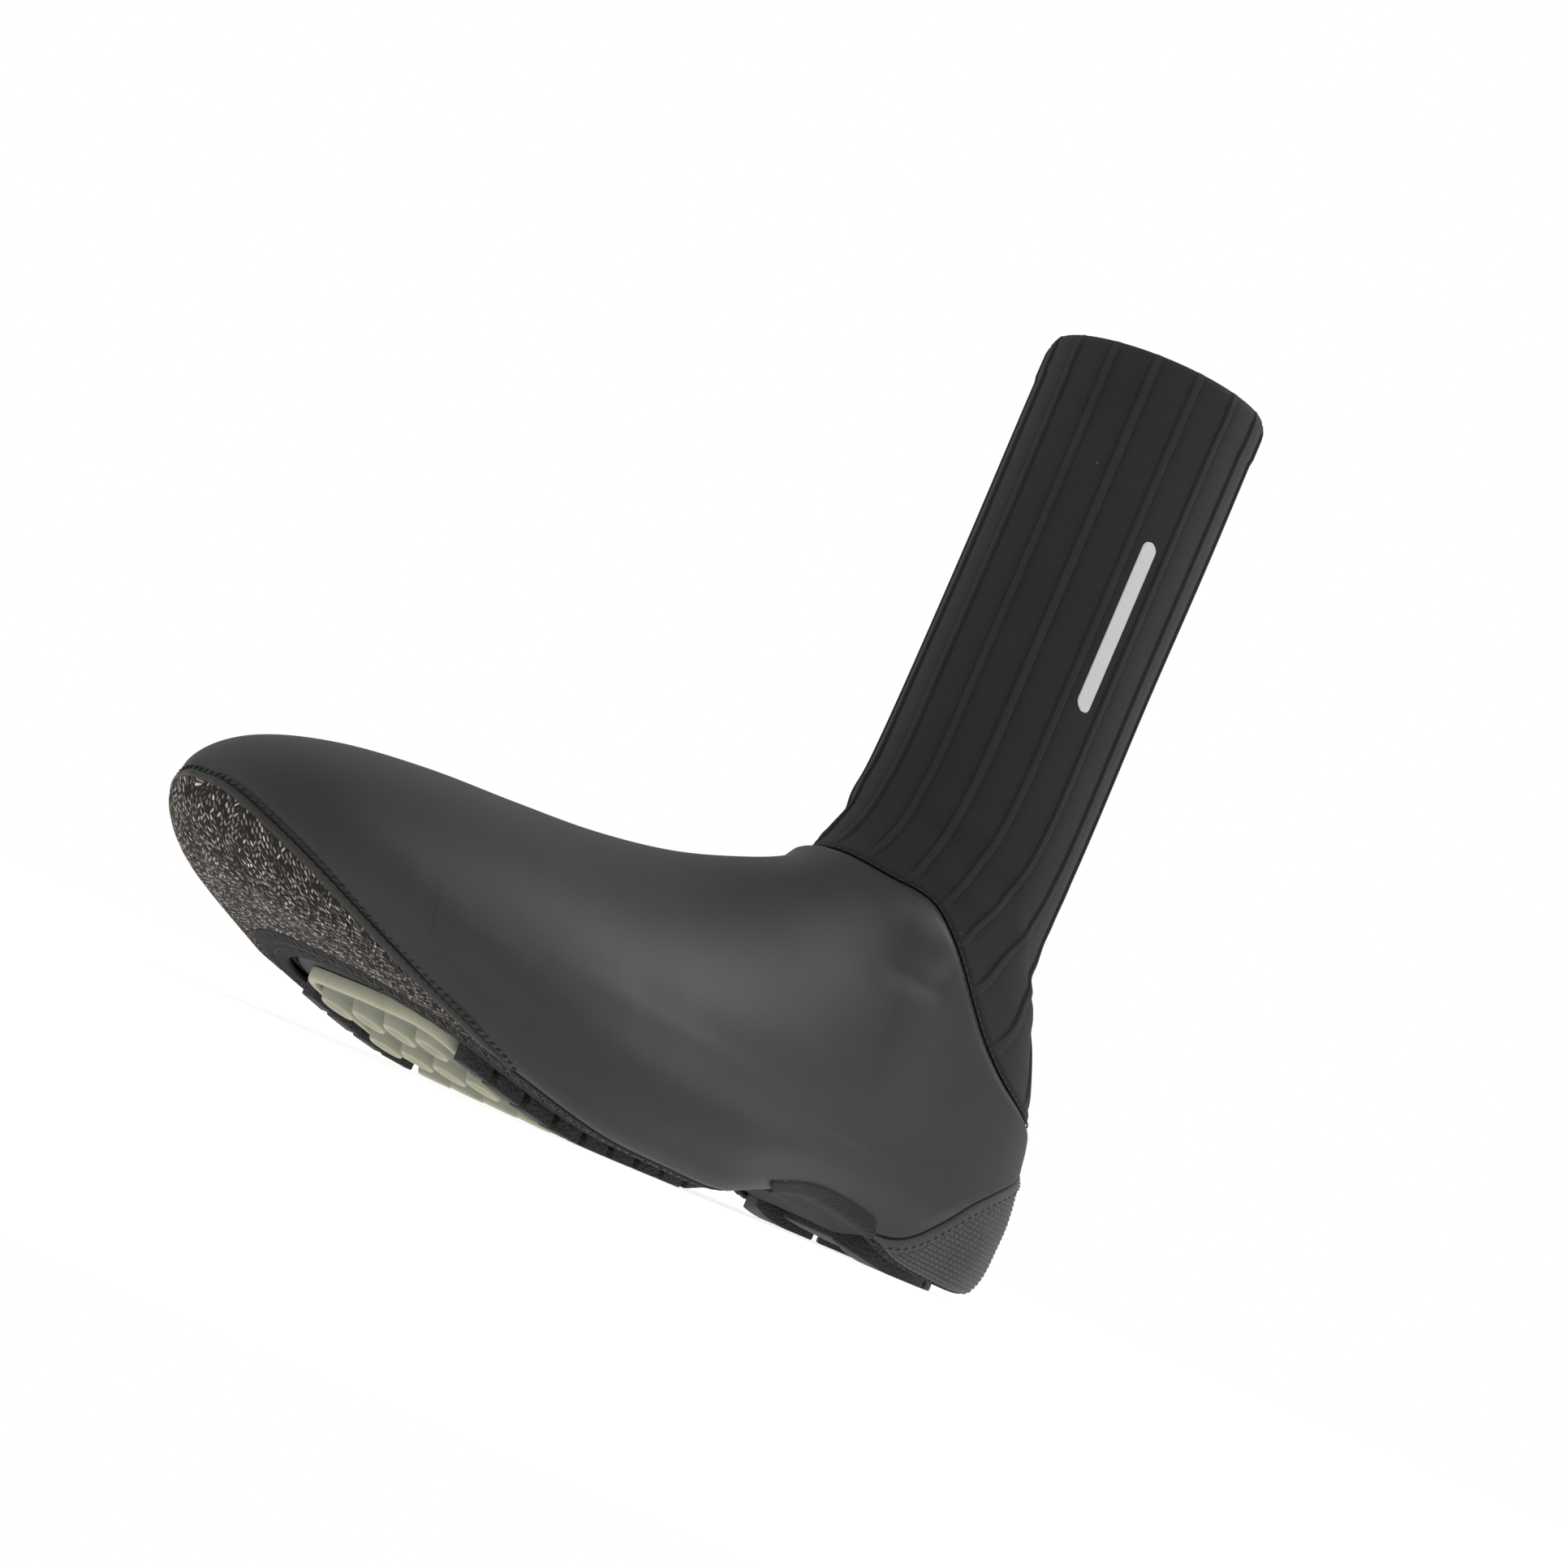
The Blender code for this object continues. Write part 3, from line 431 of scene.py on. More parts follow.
class Nodes:
    """The nodes of one shader tree, made and linked by short calls."""

    def __init__(self, tree):
        self.tree = tree

    def add(self, kind, inputs=None, **settings):
        """New node with its settings, and with its inputs set or linked by name or number."""
        made = self.tree.nodes.new(kind)
        for name, value in settings.items():
            setattr(made, name, value)
        for name, value in (inputs or {}).items():
            if isinstance(value, bpy.types.NodeSocket):
                self.tree.links.new(value, made.inputs[name])
            else:
                made.inputs[name].default_value = value
        return made

    def math(self, operation, a, b=0.0, c=0.0, clamp=False):
        inputs = {0: a, 1: b, 2: c}
        return self.add("ShaderNodeMath", inputs, operation=operation, use_clamp=clamp).outputs[0]

    def times(self, a, b, clamp=False):
        return self.math("MULTIPLY", a, b, clamp=clamp)

    def plus(self, a, b):
        return self.math("ADD", a, b)

    def scaled(self, a, by, plus, clamp=False):
        return self.math("MULTIPLY_ADD", a, by, plus, clamp)

    def below(self, a, limit):
        return self.math("LESS_THAN", a, limit)

    def off_middle(self, a):
        """Distance of a value from the middle between two whole numbers."""
        return self.math("ABSOLUTE", self.math("SUBTRACT", self.math("FRACT", a), 0.5))

    def wave(self, at, pitch, phase=0.0):
        """Cosine of a distance in millimetres, from 0 to 1 once in each pitch."""
        turned = self.scaled(at, 2 * math.pi / pitch, phase)
        return self.scaled(self.math("COSINE", turned), 0.5, 0.5)

    def mix(self, factor, a, b):
        """Colour between two, each a socket or three plain values."""
        a, b = (c if isinstance(c, bpy.types.NodeSocket) else (*c, 1) for c in (a, b))
        return self.add("ShaderNodeMix", {0: factor, 6: a, 7: b}, data_type="RGBA").outputs[2]

    def split(self, colour):
        return self.add("ShaderNodeSeparateColor", {"Color": colour}).outputs


# Grain and tone that every cloth and rubber here shares: broad uneven colour, fine grain and pale lint.
GRAIN_INPUTS = {"Broad": 30.0, "Fine": 2400.0, "Lint": 0.0}
GRAIN_OUTPUTS = ("Tone", "Grain", "Lint")
LINT_SCALE = 260.0
LINT_SIZE = 0.075
LINT_RARITY = 0.93
grain_group = bpy.data.node_groups.new("grain and tone", "ShaderNodeTree")
sockets = [("INPUT", label) for label in GRAIN_INPUTS] + [("OUTPUT", label) for label in GRAIN_OUTPUTS]
for way, label in sockets:
    socket = grain_group.interface.new_socket(name=label, in_out=way, socket_type="NodeSocketFloat")
    if way == "INPUT":
        socket.default_value = GRAIN_INPUTS[label]
grains = Nodes(grain_group)
given = grains.add("NodeGroupInput").outputs
place = grains.add("ShaderNodeTexCoord").outputs["Object"]
broad = grains.add("ShaderNodeTexNoise", {"Vector": place, "Scale": given["Broad"], "Detail": 4.0})
fine = grains.add("ShaderNodeTexNoise", {"Vector": place, "Scale": given["Fine"], "Detail": 2.0})
speck = grains.add("ShaderNodeTexVoronoi", {"Vector": place, "Scale": LINT_SCALE, "Randomness": 1.0})
near = grains.below(speck.outputs["Distance"], LINT_SIZE)
chosen = grains.math("GREATER_THAN", grains.split(speck.outputs["Color"])[0], LINT_RARITY)
lint = grains.times(grains.times(near, chosen), given["Lint"])
grains.add("NodeGroupOutput", {"Tone": broad.outputs["Fac"], "Grain": fine.outputs["Fac"], "Lint": lint})


class Finish(Nodes):
    """A new material with the plain values of its shader set, its grain, and its nodes."""

    def __init__(self, name, roughness, sheen=0.0, specular=0.5, **grain):
        self.material = bpy.data.materials.new(name)
        self.material.use_nodes = True
        super().__init__(self.material.node_tree)
        self.shader = self.tree.nodes["Principled BSDF"]
        self.shader.inputs["Roughness"].default_value = roughness
        self.shader.inputs["Sheen Weight"].default_value = sheen
        self.shader.inputs["Sheen Roughness"].default_value = 0.6
        self.shader.inputs["Specular IOR Level"].default_value = specular
        outputs = self.add("ShaderNodeGroup", grain, node_tree=grain_group).outputs
        self.tone, self.grain, self.lint = (outputs[label] for label in GRAIN_OUTPUTS)

    def cloth_map(self):
        """The piece's own map, in millimetres over the cloth: across and up."""
        place = self.add("ShaderNodeUVMap", uv_map="cloth").outputs[0]
        return self.add("ShaderNodeSeparateXYZ", {0: place}).outputs[:2]

    def link(self, value, name):
        self.tree.links.new(value, self.shader.inputs[name])

    def colour(self, value, flecks=None):
        """Base colour, with flecks of lint or dust on it where their colour is given."""
        self.link(self.mix(self.lint, value, flecks) if flecks else value, "Base Color")

    def bump(self, height, distance, strength=1.0):
        inputs = {"Height": height, "Distance": distance, "Strength": strength}
        self.link(self.add("ShaderNodeBump", inputs).outputs[0], "Normal")

    def grained(self, dark, light, distance, flecks=None):
        """Colour and bump that follow the fine grain alone."""
        self.colour(self.mix(self.grain, dark, light), flecks)
        self.bump(self.grain, distance)

    def dress(self, *pieces):
        for piece in pieces:
            piece.data.materials.append(self.material)


NEOPRENE_DARK = (0.0195, 0.0196, 0.0183)
NEOPRENE_LIGHT = (0.0325, 0.0326, 0.0305)
neoprene = Finish("smooth neoprene", 0.55, sheen=0.04, specular=0.36, Broad=26.0, Fine=2600.0)
tone = neoprene.scaled(neoprene.tone, 1.6, -0.3, clamp=True)
neoprene.colour(neoprene.mix(tone, NEOPRENE_DARK, NEOPRENE_LIGHT))
neoprene.link(neoprene.scaled(neoprene.grain, 0.16, 0.46), "Roughness")
neoprene.bump(neoprene.grain, 0.00006, 0.5)
neoprene.dress(upper)

# Shaft: a knitted tube with raised ribs, each a fold of the cloth held by close stitches across it.
# It is sewn to the upper round the ankle, and its top edge is turned in to a narrow hem.
SHAFT_WALL = 0.0018
RIBS = 16
RIB_PHASE = 0.25
RIB_HALF_WIDTH = 0.95
RIB_EDGE = 0.45
RIB_HEIGHT = 0.75
RIB_CROWN = 0.12
RIB_GROOVE = 0.28
GROOVE_AT = 1.3
GROOVE_WIDTH = 0.25
RIB_LEAN = (0.055, 0.022)
LEAN_FROM = 18.8
LEAN_OVER = 3.8
HEM = 12.0
HEM_STEP = 0.35
RIB_FADES = (8.0, 4.0)
HEM_RIB = 0.3
AROUND = 201.0
SHAFT_STRAIGHT = RINGS - 5.0
SHAFT_TOP = RINGS - 1.002
LOW_ROWS = 125
HIGH_ROWS = 86
SHAFT_SLACK = 0.6
ANKLE_DIP = (0.8, 1.2)
HEM_DIP = (0.7, 0.7)
RIB_STEPS = np.array([
    -1.5, -1.2, -1.05, -0.9, -0.75, -0.6, -0.3, 0, 0.3, 0.6, 0.75, 0.9, 1.05, 1.2, 1.5,
    3.0, 5.0, 7.2, 9.4, 11.4,
])
# Small folds over the heel and the ankle, as along, up, turned, length, height and width.
WRINKLES = (
    (42, 84, 0.6, 18, 0.9, 3.0),
    (48, 92, 0.7, 20, -0.8, 3.2),
    (56, 98, 0.5, 22, 0.7, 3.4),
    (38, 96, 1.0, 16, -0.7, 3.0),
    (78, 112, 0.3, 26, -0.8, 4.5),
    (82, 104, 0.25, 24, 0.8, 4.5),
    (88, 122, 0.35, 22, 0.5, 5.0),
    (36, 112, 1.2, 14, 0.5, 3.6),
)


def wrinkled(point):
    """Height of the small folds above the ankle, in millimetres."""
    total = np.zeros(point.shape[:-1])
    for along, up, turned, length, height, width in WRINKLES:
        away = point[..., [0, 2]] - np.array([along, up])
        run = away @ np.array([math.cos(turned), math.sin(turned)])
        off = away @ np.array([-math.sin(turned), math.cos(turned)])
        total += height * np.exp(-((off / width) ** 2) - (2 * run / length) ** 4)
    return total


shaft_turn = np.sort(((np.arange(RIBS)[:, None] + RIB_PHASE) / RIBS + RIB_STEPS / AROUND).ravel() % 1.0)
to_rib = (shaft_turn * RIBS - RIB_PHASE + 0.5) % 1.0 - 0.5
from_rib = np.abs(to_rib) * AROUND / RIBS
rib_bump = smooth_step((RIB_HALF_WIDTH + RIB_EDGE / 2 - from_rib) / RIB_EDGE) * (1 - RIB_CROWN * from_rib**2)
rib_groove = swell(RIB_GROOVE, from_rib - GROOVE_AT, GROOVE_WIDTH)
rib_lean = RIB_LEAN[0] * np.sin(2 * np.pi * shaft_turn) + RIB_LEAN[1] * np.sin(4 * np.pi * shaft_turn)
shaft_start = ankle_line(shaft_turn + rib_lean)
low_rows = shaft_start + (SHAFT_STRAIGHT - shaft_start) * np.linspace(0, 1, LOW_ROWS)[:, None]
high_rows = np.linspace(SHAFT_STRAIGHT, SHAFT_TOP, HIGH_ROWS)[1:, None] + 0 * shaft_start
shaft_level = np.concatenate([low_rows, high_rows])
leaning_turn = shaft_turn + rib_lean * smooth_step((LEAN_FROM - shaft_level) / LEAN_OVER)
shaft_point, shaft_normal, _ = skin_frame(leaning_turn, shaft_level)
shaft_run = run_lengths(shaft_point, 0)
from_top = shaft_run[-1] - shaft_run
rib_height = (RIB_HEIGHT * rib_bump - rib_groove) * smooth_step((shaft_run + 1) / RIB_FADES[0])
rib_height *= HEM_RIB + (1 - HEM_RIB) * smooth_step(from_top / RIB_FADES[1])
folds = wrinkled(shaft_point) * smooth_step(shaft_run / RIB_FADES[0])
height = rib_height + folds + SHAFT_SLACK * slack(shaft_point)
height += HEM_STEP * smooth_step(HEM - from_top)
height -= swell(ANKLE_DIP[0], shaft_run, ANKLE_DIP[1]) + swell(HEM_DIP[0], from_top, HEM_DIP[1])
outer = shaft_point + shaft_normal * height[..., None]
inner = skin(leaning_turn[::-6], shaft_level[::-6], -SHAFT_WALL / MM)
rings = np.concatenate([outer, inner])
shaft = tube_piece("shaft_knit", rings, shaft_turn * AROUND, run_lengths(rings, 0))
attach(shaft, "root")
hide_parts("shaft")

KNIT_DARK = (0.0108, 0.0107, 0.0102)
KNIT_LIGHT = (0.0285, 0.0280, 0.0265)
LINT = (0.30, 0.30, 0.29)
WALE = 0.55
COURSE = 0.45
RIB_STITCH = 0.85
RIB_SHEEN = 0.6
knit = Finish("shaft knit", 0.82, sheen=0.05, specular=0.22, Broad=60.0, Fine=2400.0, Lint=0.25)
u, v = knit.cloth_map()
rib_off = knit.off_middle(knit.scaled(u, RIBS / AROUND, RIB_PHASE))
on_rib = knit.below(rib_off, RIB_HALF_WIDTH * RIBS / AROUND)
stitch = knit.times(knit.wave(v, RIB_STITCH), on_rib)
loops = knit.times(knit.wave(u, WALE), knit.wave(v, COURSE))
plain = knit.times(loops, knit.math("SUBTRACT", 1.0, on_rib))
relief = knit.plus(stitch, knit.times(plain, 0.45))
fibre = knit.scaled(knit.grain, 0.5, knit.times(knit.tone, 0.35))
# Rib stitches coloured lighter on their crests: painted sheen, over the random tone of the fibre.
fibre_and_rib_sheen = knit.scaled(stitch, RIB_SHEEN, fibre, clamp=True)
knit.colour(knit.mix(fibre_and_rib_sheen, KNIT_DARK, KNIT_LIGHT), LINT)
knit.bump(knit.plus(relief, knit.grain), 0.00014)
knit.dress(shaft)

# Reflective bar: one plain strip of pale reflective film pressed on the outer side of the shaft.
# It lies between two ribs, with round ends, and its glass beads give it a fine dull sparkle.
BAR_TURN = 0.297
BAR_FROM = 19.45
BAR_TO = 20.75
BAR_HALF = 2.3
BAR_STEPS = 90
BAR_COLUMNS = 13
BAR_LIFT = 0.28
BAR_SUNK = 0.3
FILM_DARK = (0.46, 0.47, 0.47)
FILM_LIGHT = (0.70, 0.71, 0.70)
bar_level = np.linspace(BAR_FROM, BAR_TO, BAR_STEPS)
middle_run = run_lengths(skin(np.full(BAR_STEPS, BAR_TURN), bar_level), 0)
from_end = np.minimum(np.minimum(middle_run, middle_run[-1] - middle_run), BAR_HALF)
bar_half = np.sqrt(np.maximum(BAR_HALF**2 - (BAR_HALF - from_end) ** 2, 0.04))
aside = np.linspace(-1, 1, BAR_COLUMNS)[None, :] * bar_half[:, None]
wide_turn = BAR_TURN + aside / AROUND
wide_level = np.broadcast_to(bar_level[:, None], wide_turn.shape)
bar_slack = SHAFT_SLACK * slack(skin(wide_turn, wide_level))
bar_outer, bar_inner = (skin(wide_turn, wide_level, bar_slack + lift) for lift in (BAR_LIFT, -BAR_SUNK))
bar_map = np.broadcast_to(middle_run[:, None], aside.shape)
bar_piece = patch_piece("reflective_bar", bar_outer, bar_inner, aside, bar_map)
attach(bar_piece, "root")
film = Finish("reflective film", 0.42, specular=0.6, Broad=120.0, Fine=3200.0)
film.grained(FILM_DARK, FILM_LIGHT, 0.00006)
film.dress(bar_piece)

# Ankle seam: the thread that joins the shaft to the upper, sunk in the groove between them.
# It is black and close, and shows as one thin dark line with a stitch every few millimetres.
STITCH_SIDES = 6
STITCH_RINGS = np.array([(0.0, 0.35), (0.12, 0.8), (0.5, 1.0), (0.88, 0.8), (1.0, 0.35)])


def stitch_run(name, start, end, normal, thickness):
    """One piece with a short rounded thread from each start point to its end point, in millimetres."""
    run = unit(end - start)
    side = unit(np.cross(normal, run))
    rise = np.cross(run, side)
    points = []
    for share, wide in STITCH_RINGS:
        arch = rise * (0.7 * thickness * math.sin(math.pi * share))
        centre = start + (end - start) * share + arch
        for angle in np.arange(STITCH_SIDES) * 2 * np.pi / STITCH_SIDES:
            points.append(centre + wide * thickness / 2 * (math.cos(angle) * side + math.sin(angle) * rise))
    per = len(points)
    i, j = quads(len(STITCH_RINGS), STITCH_SIDES, False, True)
    cells = (i * STITCH_SIDES + j % STITCH_SIDES).tolist()
    cells += [range(STITCH_SIDES)[::-1], range(per - STITCH_SIDES, per)]
    faces = [[per * s + corner for corner in cell] for s in range(len(start)) for cell in cells]
    return mesh_piece(name, np.stack(points, 1).reshape(-1, 3), faces)


def spaced(run, pitch, *values):
    """Values at an even pitch along a run, in millimetres."""
    at = np.arange(0, run[-1], pitch)
    return [np.stack([np.interp(at, run, column) for column in value.T], -1) for value in values]


def stitch_line(name, point, normal, pitch, filled, thickness, lean=0.0):
    """Row of stitches along a run of points, each filling a share of its pitch and leaning across it."""
    at, out_of = spaced(run_lengths(point, 0), pitch, point, normal)
    step = np.diff(at, axis=0)
    aside = lean * np.cross(out_of[:-1], unit(step))
    return stitch_run(name, at[:-1] - aside, at[:-1] + filled * step + aside, out_of[:-1], thickness)


ANKLE_STITCH = 2.6
ANKLE_FILLED = 0.86
ANKLE_THREAD = 0.55
seam_turn = np.linspace(0, 1, 600)
seam_point, seam_normal, _ = skin_frame(seam_turn, ankle_line(seam_turn))
seam_point -= ANKLE_THREAD * seam_normal
ankle_seam = stitch_line(
    "ankle_seam_thread", seam_point, seam_normal, ANKLE_STITCH, ANKLE_FILLED, ANKLE_THREAD)
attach(ankle_seam, "root")

THREAD_DARK = (0.006, 0.006, 0.006)
THREAD_LIGHT = (0.018, 0.018, 0.018)
thread = Finish("black thread", 0.6, sheen=0.1, specular=0.35, Broad=220.0, Fine=3800.0)
thread.grained(THREAD_DARK, THREAD_LIGHT, 0.0001)
thread.dress(ankle_seam)

# Toe cloth: a coarse cut-resistant weave, let into the upper from the binding to the toe seam.
# Pale slanted yarns float over a brown-black ground, and each float stands a little proud.
OVERLAY = 1.2
FLOAT_COLUMN = 1.2
FLOAT_PITCH = 1.55
FLOAT_LENGTH = 0.84
FLOAT_WIDTH = 0.33
FLOAT_SLANT = math.radians(33)
FLOAT_RELIEF = 0.16
FLOAT_SHIFT = 0.37
TOE_COLUMNS = 420
TOE_ROWS = 104
TOE_REACH = 0.1222
TOE_GAP = 0.03
TOE_LIFT = 0.15
TOE_DIP = (0.9, 0.8)


def panel_grid(turn, top, rows):
    """Grid of a let-in panel from the binding to its seam: turns, levels, points, normals and map."""
    start = BINDING_RING - SEAM_GAP
    level = start + (top - BINDING_RING + SEAM_GAP) * np.linspace(0, 1, rows)[:, None]
    turn = np.broadcast_to(turn, level.shape)
    point, normal, _ = skin_frame(turn, level)
    across = np.broadcast_to(run_lengths(point[rows // 3], 0)[None, :], level.shape)
    return turn, level, point, normal, across, run_lengths(point, 0)


def panel_piece(name, grid, height):
    """Panel on its grid, with its face at a height over the form and its back inside it."""
    turn, level, point, normal, across, up = grid
    return patch_piece(name, point + normal * height[..., None], skin(turn, level, -OVERLAY), across, up)


toe_turn = 0.5 + np.linspace(-TOE_REACH, TOE_REACH, TOE_COLUMNS)
toe_grid = panel_grid(toe_turn, toe_line(toe_turn) - TOE_GAP, TOE_ROWS)
toe_u, toe_v = toe_grid[4:]
column = toe_u / FLOAT_COLUMN
wobble = np.cos(2 * np.pi * (toe_v / FLOAT_PITCH + FLOAT_SHIFT * np.floor(column)))
float_height = np.abs(np.sin(np.pi * column)) + 0.5 * wobble
toe_edge = np.minimum(toe_v, toe_v[-1] - toe_v)
toe_height = FLOAT_RELIEF * float_height + TOE_LIFT - swell(TOE_DIP[0], toe_edge, TOE_DIP[1])
toe_cloth = panel_piece("toe_cloth", toe_grid, toe_height)
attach(toe_cloth, "root")
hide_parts("toe_panel")

GROUND_DARK = (0.0075, 0.0062, 0.0056)
GROUND_LIGHT = (0.026, 0.021, 0.019)
FLOAT_DARK = (0.20, 0.165, 0.14)
FLOAT_LIGHT = (0.86, 0.75, 0.65)
FLOAT_STRAY = 0.30
LEANING_SHARE = 0.68
weave = Finish("toe weave", 0.75, sheen=0.02, specular=0.25, Broad=90.0, Fine=3000.0)
u, v = weave.cloth_map()
column = weave.times(u, 1 / FLOAT_COLUMN)
column_number = weave.math("FLOOR", column)
column_luck = weave.add("ShaderNodeTexWhiteNoise", {"W": column_number}, noise_dimensions="1D")
row = weave.scaled(v, 1 / FLOAT_PITCH, column_luck.outputs["Value"])
cell = weave.add("ShaderNodeCombineXYZ", {0: column_number, 1: weave.math("FLOOR", row)}).outputs[0]
luck = weave.add("ShaderNodeTexWhiteNoise", {"Vector": cell})
lucks = weave.split(luck.outputs["Color"])
stray = weave.scaled(lucks[0], FLOAT_STRAY, -(FLOAT_COLUMN + FLOAT_STRAY) / 2)
aside = weave.scaled(weave.math("FRACT", column), FLOAT_COLUMN, stray)
above = weave.scaled(weave.math("FRACT", row), FLOAT_PITCH, -0.5 * FLOAT_PITCH)
leaning = weave.math("SUBTRACT", weave.times(weave.below(lucks[1], LEANING_SHARE), 2.0), 1.0)
turned = weave.times(aside, weave.times(leaning, math.sin(FLOAT_SLANT)))
tipped = weave.times(above, weave.times(leaning, -math.sin(FLOAT_SLANT)))
lengthwise = weave.scaled(above, math.cos(FLOAT_SLANT), turned)
crosswise = weave.scaled(aside, math.cos(FLOAT_SLANT), tipped)
far = weave.math("POWER", weave.math("ABSOLUTE", weave.math("DIVIDE", lengthwise, FLOAT_LENGTH)), 3.0)
wide = weave.math("POWER", weave.math("ABSOLUTE", weave.math("DIVIDE", crosswise, FLOAT_WIDTH)), 2.0)
float_mask = weave.math("SUBTRACT", 1.1, weave.plus(far, wide), clamp=True)
showing = weave.times(float_mask, weave.scaled(luck.outputs["Value"], 1.15, -0.08), clamp=True)
ground = weave.mix(weave.grain, GROUND_DARK, GROUND_LIGHT)
weave.colour(weave.mix(showing, ground, weave.mix(lucks[2], FLOAT_DARK, FLOAT_LIGHT)))
weave.bump(weave.plus(float_mask, weave.times(weave.grain, 0.5)), 0.00022)
weave.dress(toe_cloth)

# Toe seam: the upper's edge folded back over the toe cloth into a narrow smooth roll of neoprene.
# A row of black stitches holds it, close above the roll, and both run out under the binding.
ROLL_WIDTH = 1.9
ROLL_HEIGHT = 0.95
ROLL_STEPS = 12
ROLL_BACK = 0.35
ROLL_TAPER = 12.0
ROLL_SUNK = 0.35


def seam_frame(turn, level):
    """Points of a seam with its outward normal and the way down the surface, square to the seam."""
    point, normal, upward = skin_frame(turn, level)
    run = unit(np.gradient(point, axis=0))
    return point, normal, unit(-upward + run * np.sum(upward * run, axis=-1, keepdims=True))


def seam_roll(name, seam, start, end, height, sunk):
    """Half-round strip along a seam, from start to end millimetres down the surface from it."""
    point, normal, down = seam
    share = np.linspace(0, 1, ROLL_STEPS)
    run = run_lengths(point, 0)
    taper = smooth_step(np.minimum(run, run[-1] - run) / ROLL_TAPER)[None, :]
    place = (start + (end - start) * share)[:, None] * (0.35 + 0.65 * taper)
    lift = (height * np.sqrt(np.clip(1 - (2 * share - 1) ** 2, 0, 1)) - sunk)[:, None] * (0.4 + 0.6 * taper)
    top = point + down * place[..., None] + normal * lift[..., None]
    low = point + down * place[..., None] - normal * (sunk + 0.6)
    u = np.broadcast_to(run, place.shape)
    return patch_piece(name, top, low, u, place + 0 * u)


roll_turn = 0.5 + TOE_HALF_TURN * np.sin(np.linspace(-0.497, 0.497, 420) * np.pi)
toe_seam = seam_frame(roll_turn, toe_line(roll_turn))
toe_roll = seam_roll("toe_seam_roll", toe_seam, -ROLL_BACK, ROLL_WIDTH, ROLL_HEIGHT, ROLL_SUNK)
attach(toe_roll, "root")
neoprene.dress(toe_roll)

TOE_STITCH = 2.4
TOE_FILLED = 0.6
TOE_THREAD = 0.7
TOE_LEAN = 0.45
# A black strip sunk in the groove under the stitches stands partly for the dense black thread and partly for
# the shade in the groove: painted shade.
THREAD_AND_SHADE_SIZES = (-2.1, -0.3, 0.45, 0.85)
toe_thread_and_shade = seam_roll("toe_seam_thread_and_painted_shade", toe_seam, *THREAD_AND_SHADE_SIZES)
roll_point, roll_normal, roll_down = toe_seam
stitched = roll_point - 1.25 * roll_down - 0.45 * roll_normal
toe_stitches = stitch_line(
    "toe_seam_stitches", stitched, roll_normal, TOE_STITCH, TOE_FILLED, TOE_THREAD, TOE_LEAN)
for made in (toe_thread_and_shade, toe_stitches):
    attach(made, "root")
thread.dress(toe_thread_and_shade, toe_stitches)

# Heel cloth: a tough dark cloth with small rubber bars printed on it in offset rows, for grip.
# It wraps the back of the heel from the binding to a stitched seam that climbs towards the back.
BAR_PITCH = 2.15
BAR_ROW = 1.45
BAR_RELIEF = 0.30
BAR_REACH = (0.42, 0.40)
BAR_EDGE = 0.14
HEEL_COLUMNS = 460
HEEL_ROWS = 90
HEEL_REACH = 0.1705
HEEL_GAP = 0.04
HEEL_DIP = (0.8, 0.7)
FOLD_WIDTH = 3.4
FOLD_EDGE = 0.4
heel_turn = np.linspace(-HEEL_REACH, HEEL_REACH, HEEL_COLUMNS)
heel_grid = panel_grid(heel_turn, heel_line(heel_turn % 1.0) - HEEL_GAP, HEEL_ROWS)
heel_u, heel_v = heel_grid[4:]
row = heel_v / BAR_ROW
bar_at = heel_u / BAR_PITCH + 0.5 * np.floor(row)
bar_ends = BAR_REACH[0] - np.abs(bar_at % 1 - 0.5)
bar_sides = (BAR_REACH[1] - np.abs(row % 1 - 0.5)) * BAR_ROW / BAR_PITCH
heel_edge = heel_v[-1] - heel_v
bars = smooth_step(np.minimum(bar_ends, bar_sides) / BAR_EDGE)
bars *= smooth_step((heel_edge - FOLD_WIDTH) / FOLD_EDGE)
heel_height = BAR_RELIEF * bars - swell(HEEL_DIP[0], heel_edge, HEEL_DIP[1])
heel_cloth = panel_piece("heel_cloth", heel_grid, heel_height)
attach(heel_cloth, "root")
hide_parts("heel_panel")

BAR_DARK = (0.020, 0.020, 0.020)
BAR_LIGHT = (0.075, 0.075, 0.073)
HEEL_GROUND = (0.008, 0.008, 0.008)
heel_grip = Finish("heel grip cloth", 0.6, sheen=0.1, specular=0.45, Broad=120.0, Fine=2200.0, Lint=0.4)
u, v = heel_grip.cloth_map()
row = heel_grip.times(v, 1 / BAR_ROW)
shift = heel_grip.times(heel_grip.math("FLOOR", row), 0.5)
off_bar = heel_grip.off_middle(heel_grip.scaled(u, 1 / BAR_PITCH, shift))
off_row = heel_grip.off_middle(row)
on_bar = heel_grip.times(heel_grip.below(off_bar, BAR_REACH[0]), heel_grip.below(off_row, BAR_REACH[1]))
bar_tone = heel_grip.scaled(heel_grip.tone, 0.8, heel_grip.times(off_bar, 0.8), clamp=True)
bar = heel_grip.mix(bar_tone, BAR_DARK, BAR_LIGHT)
heel_grip.colour(heel_grip.mix(on_bar, HEEL_GROUND, bar), LINT)
heel_grip.bump(heel_grip.grain, 0.0001)
heel_grip.dress(heel_cloth)

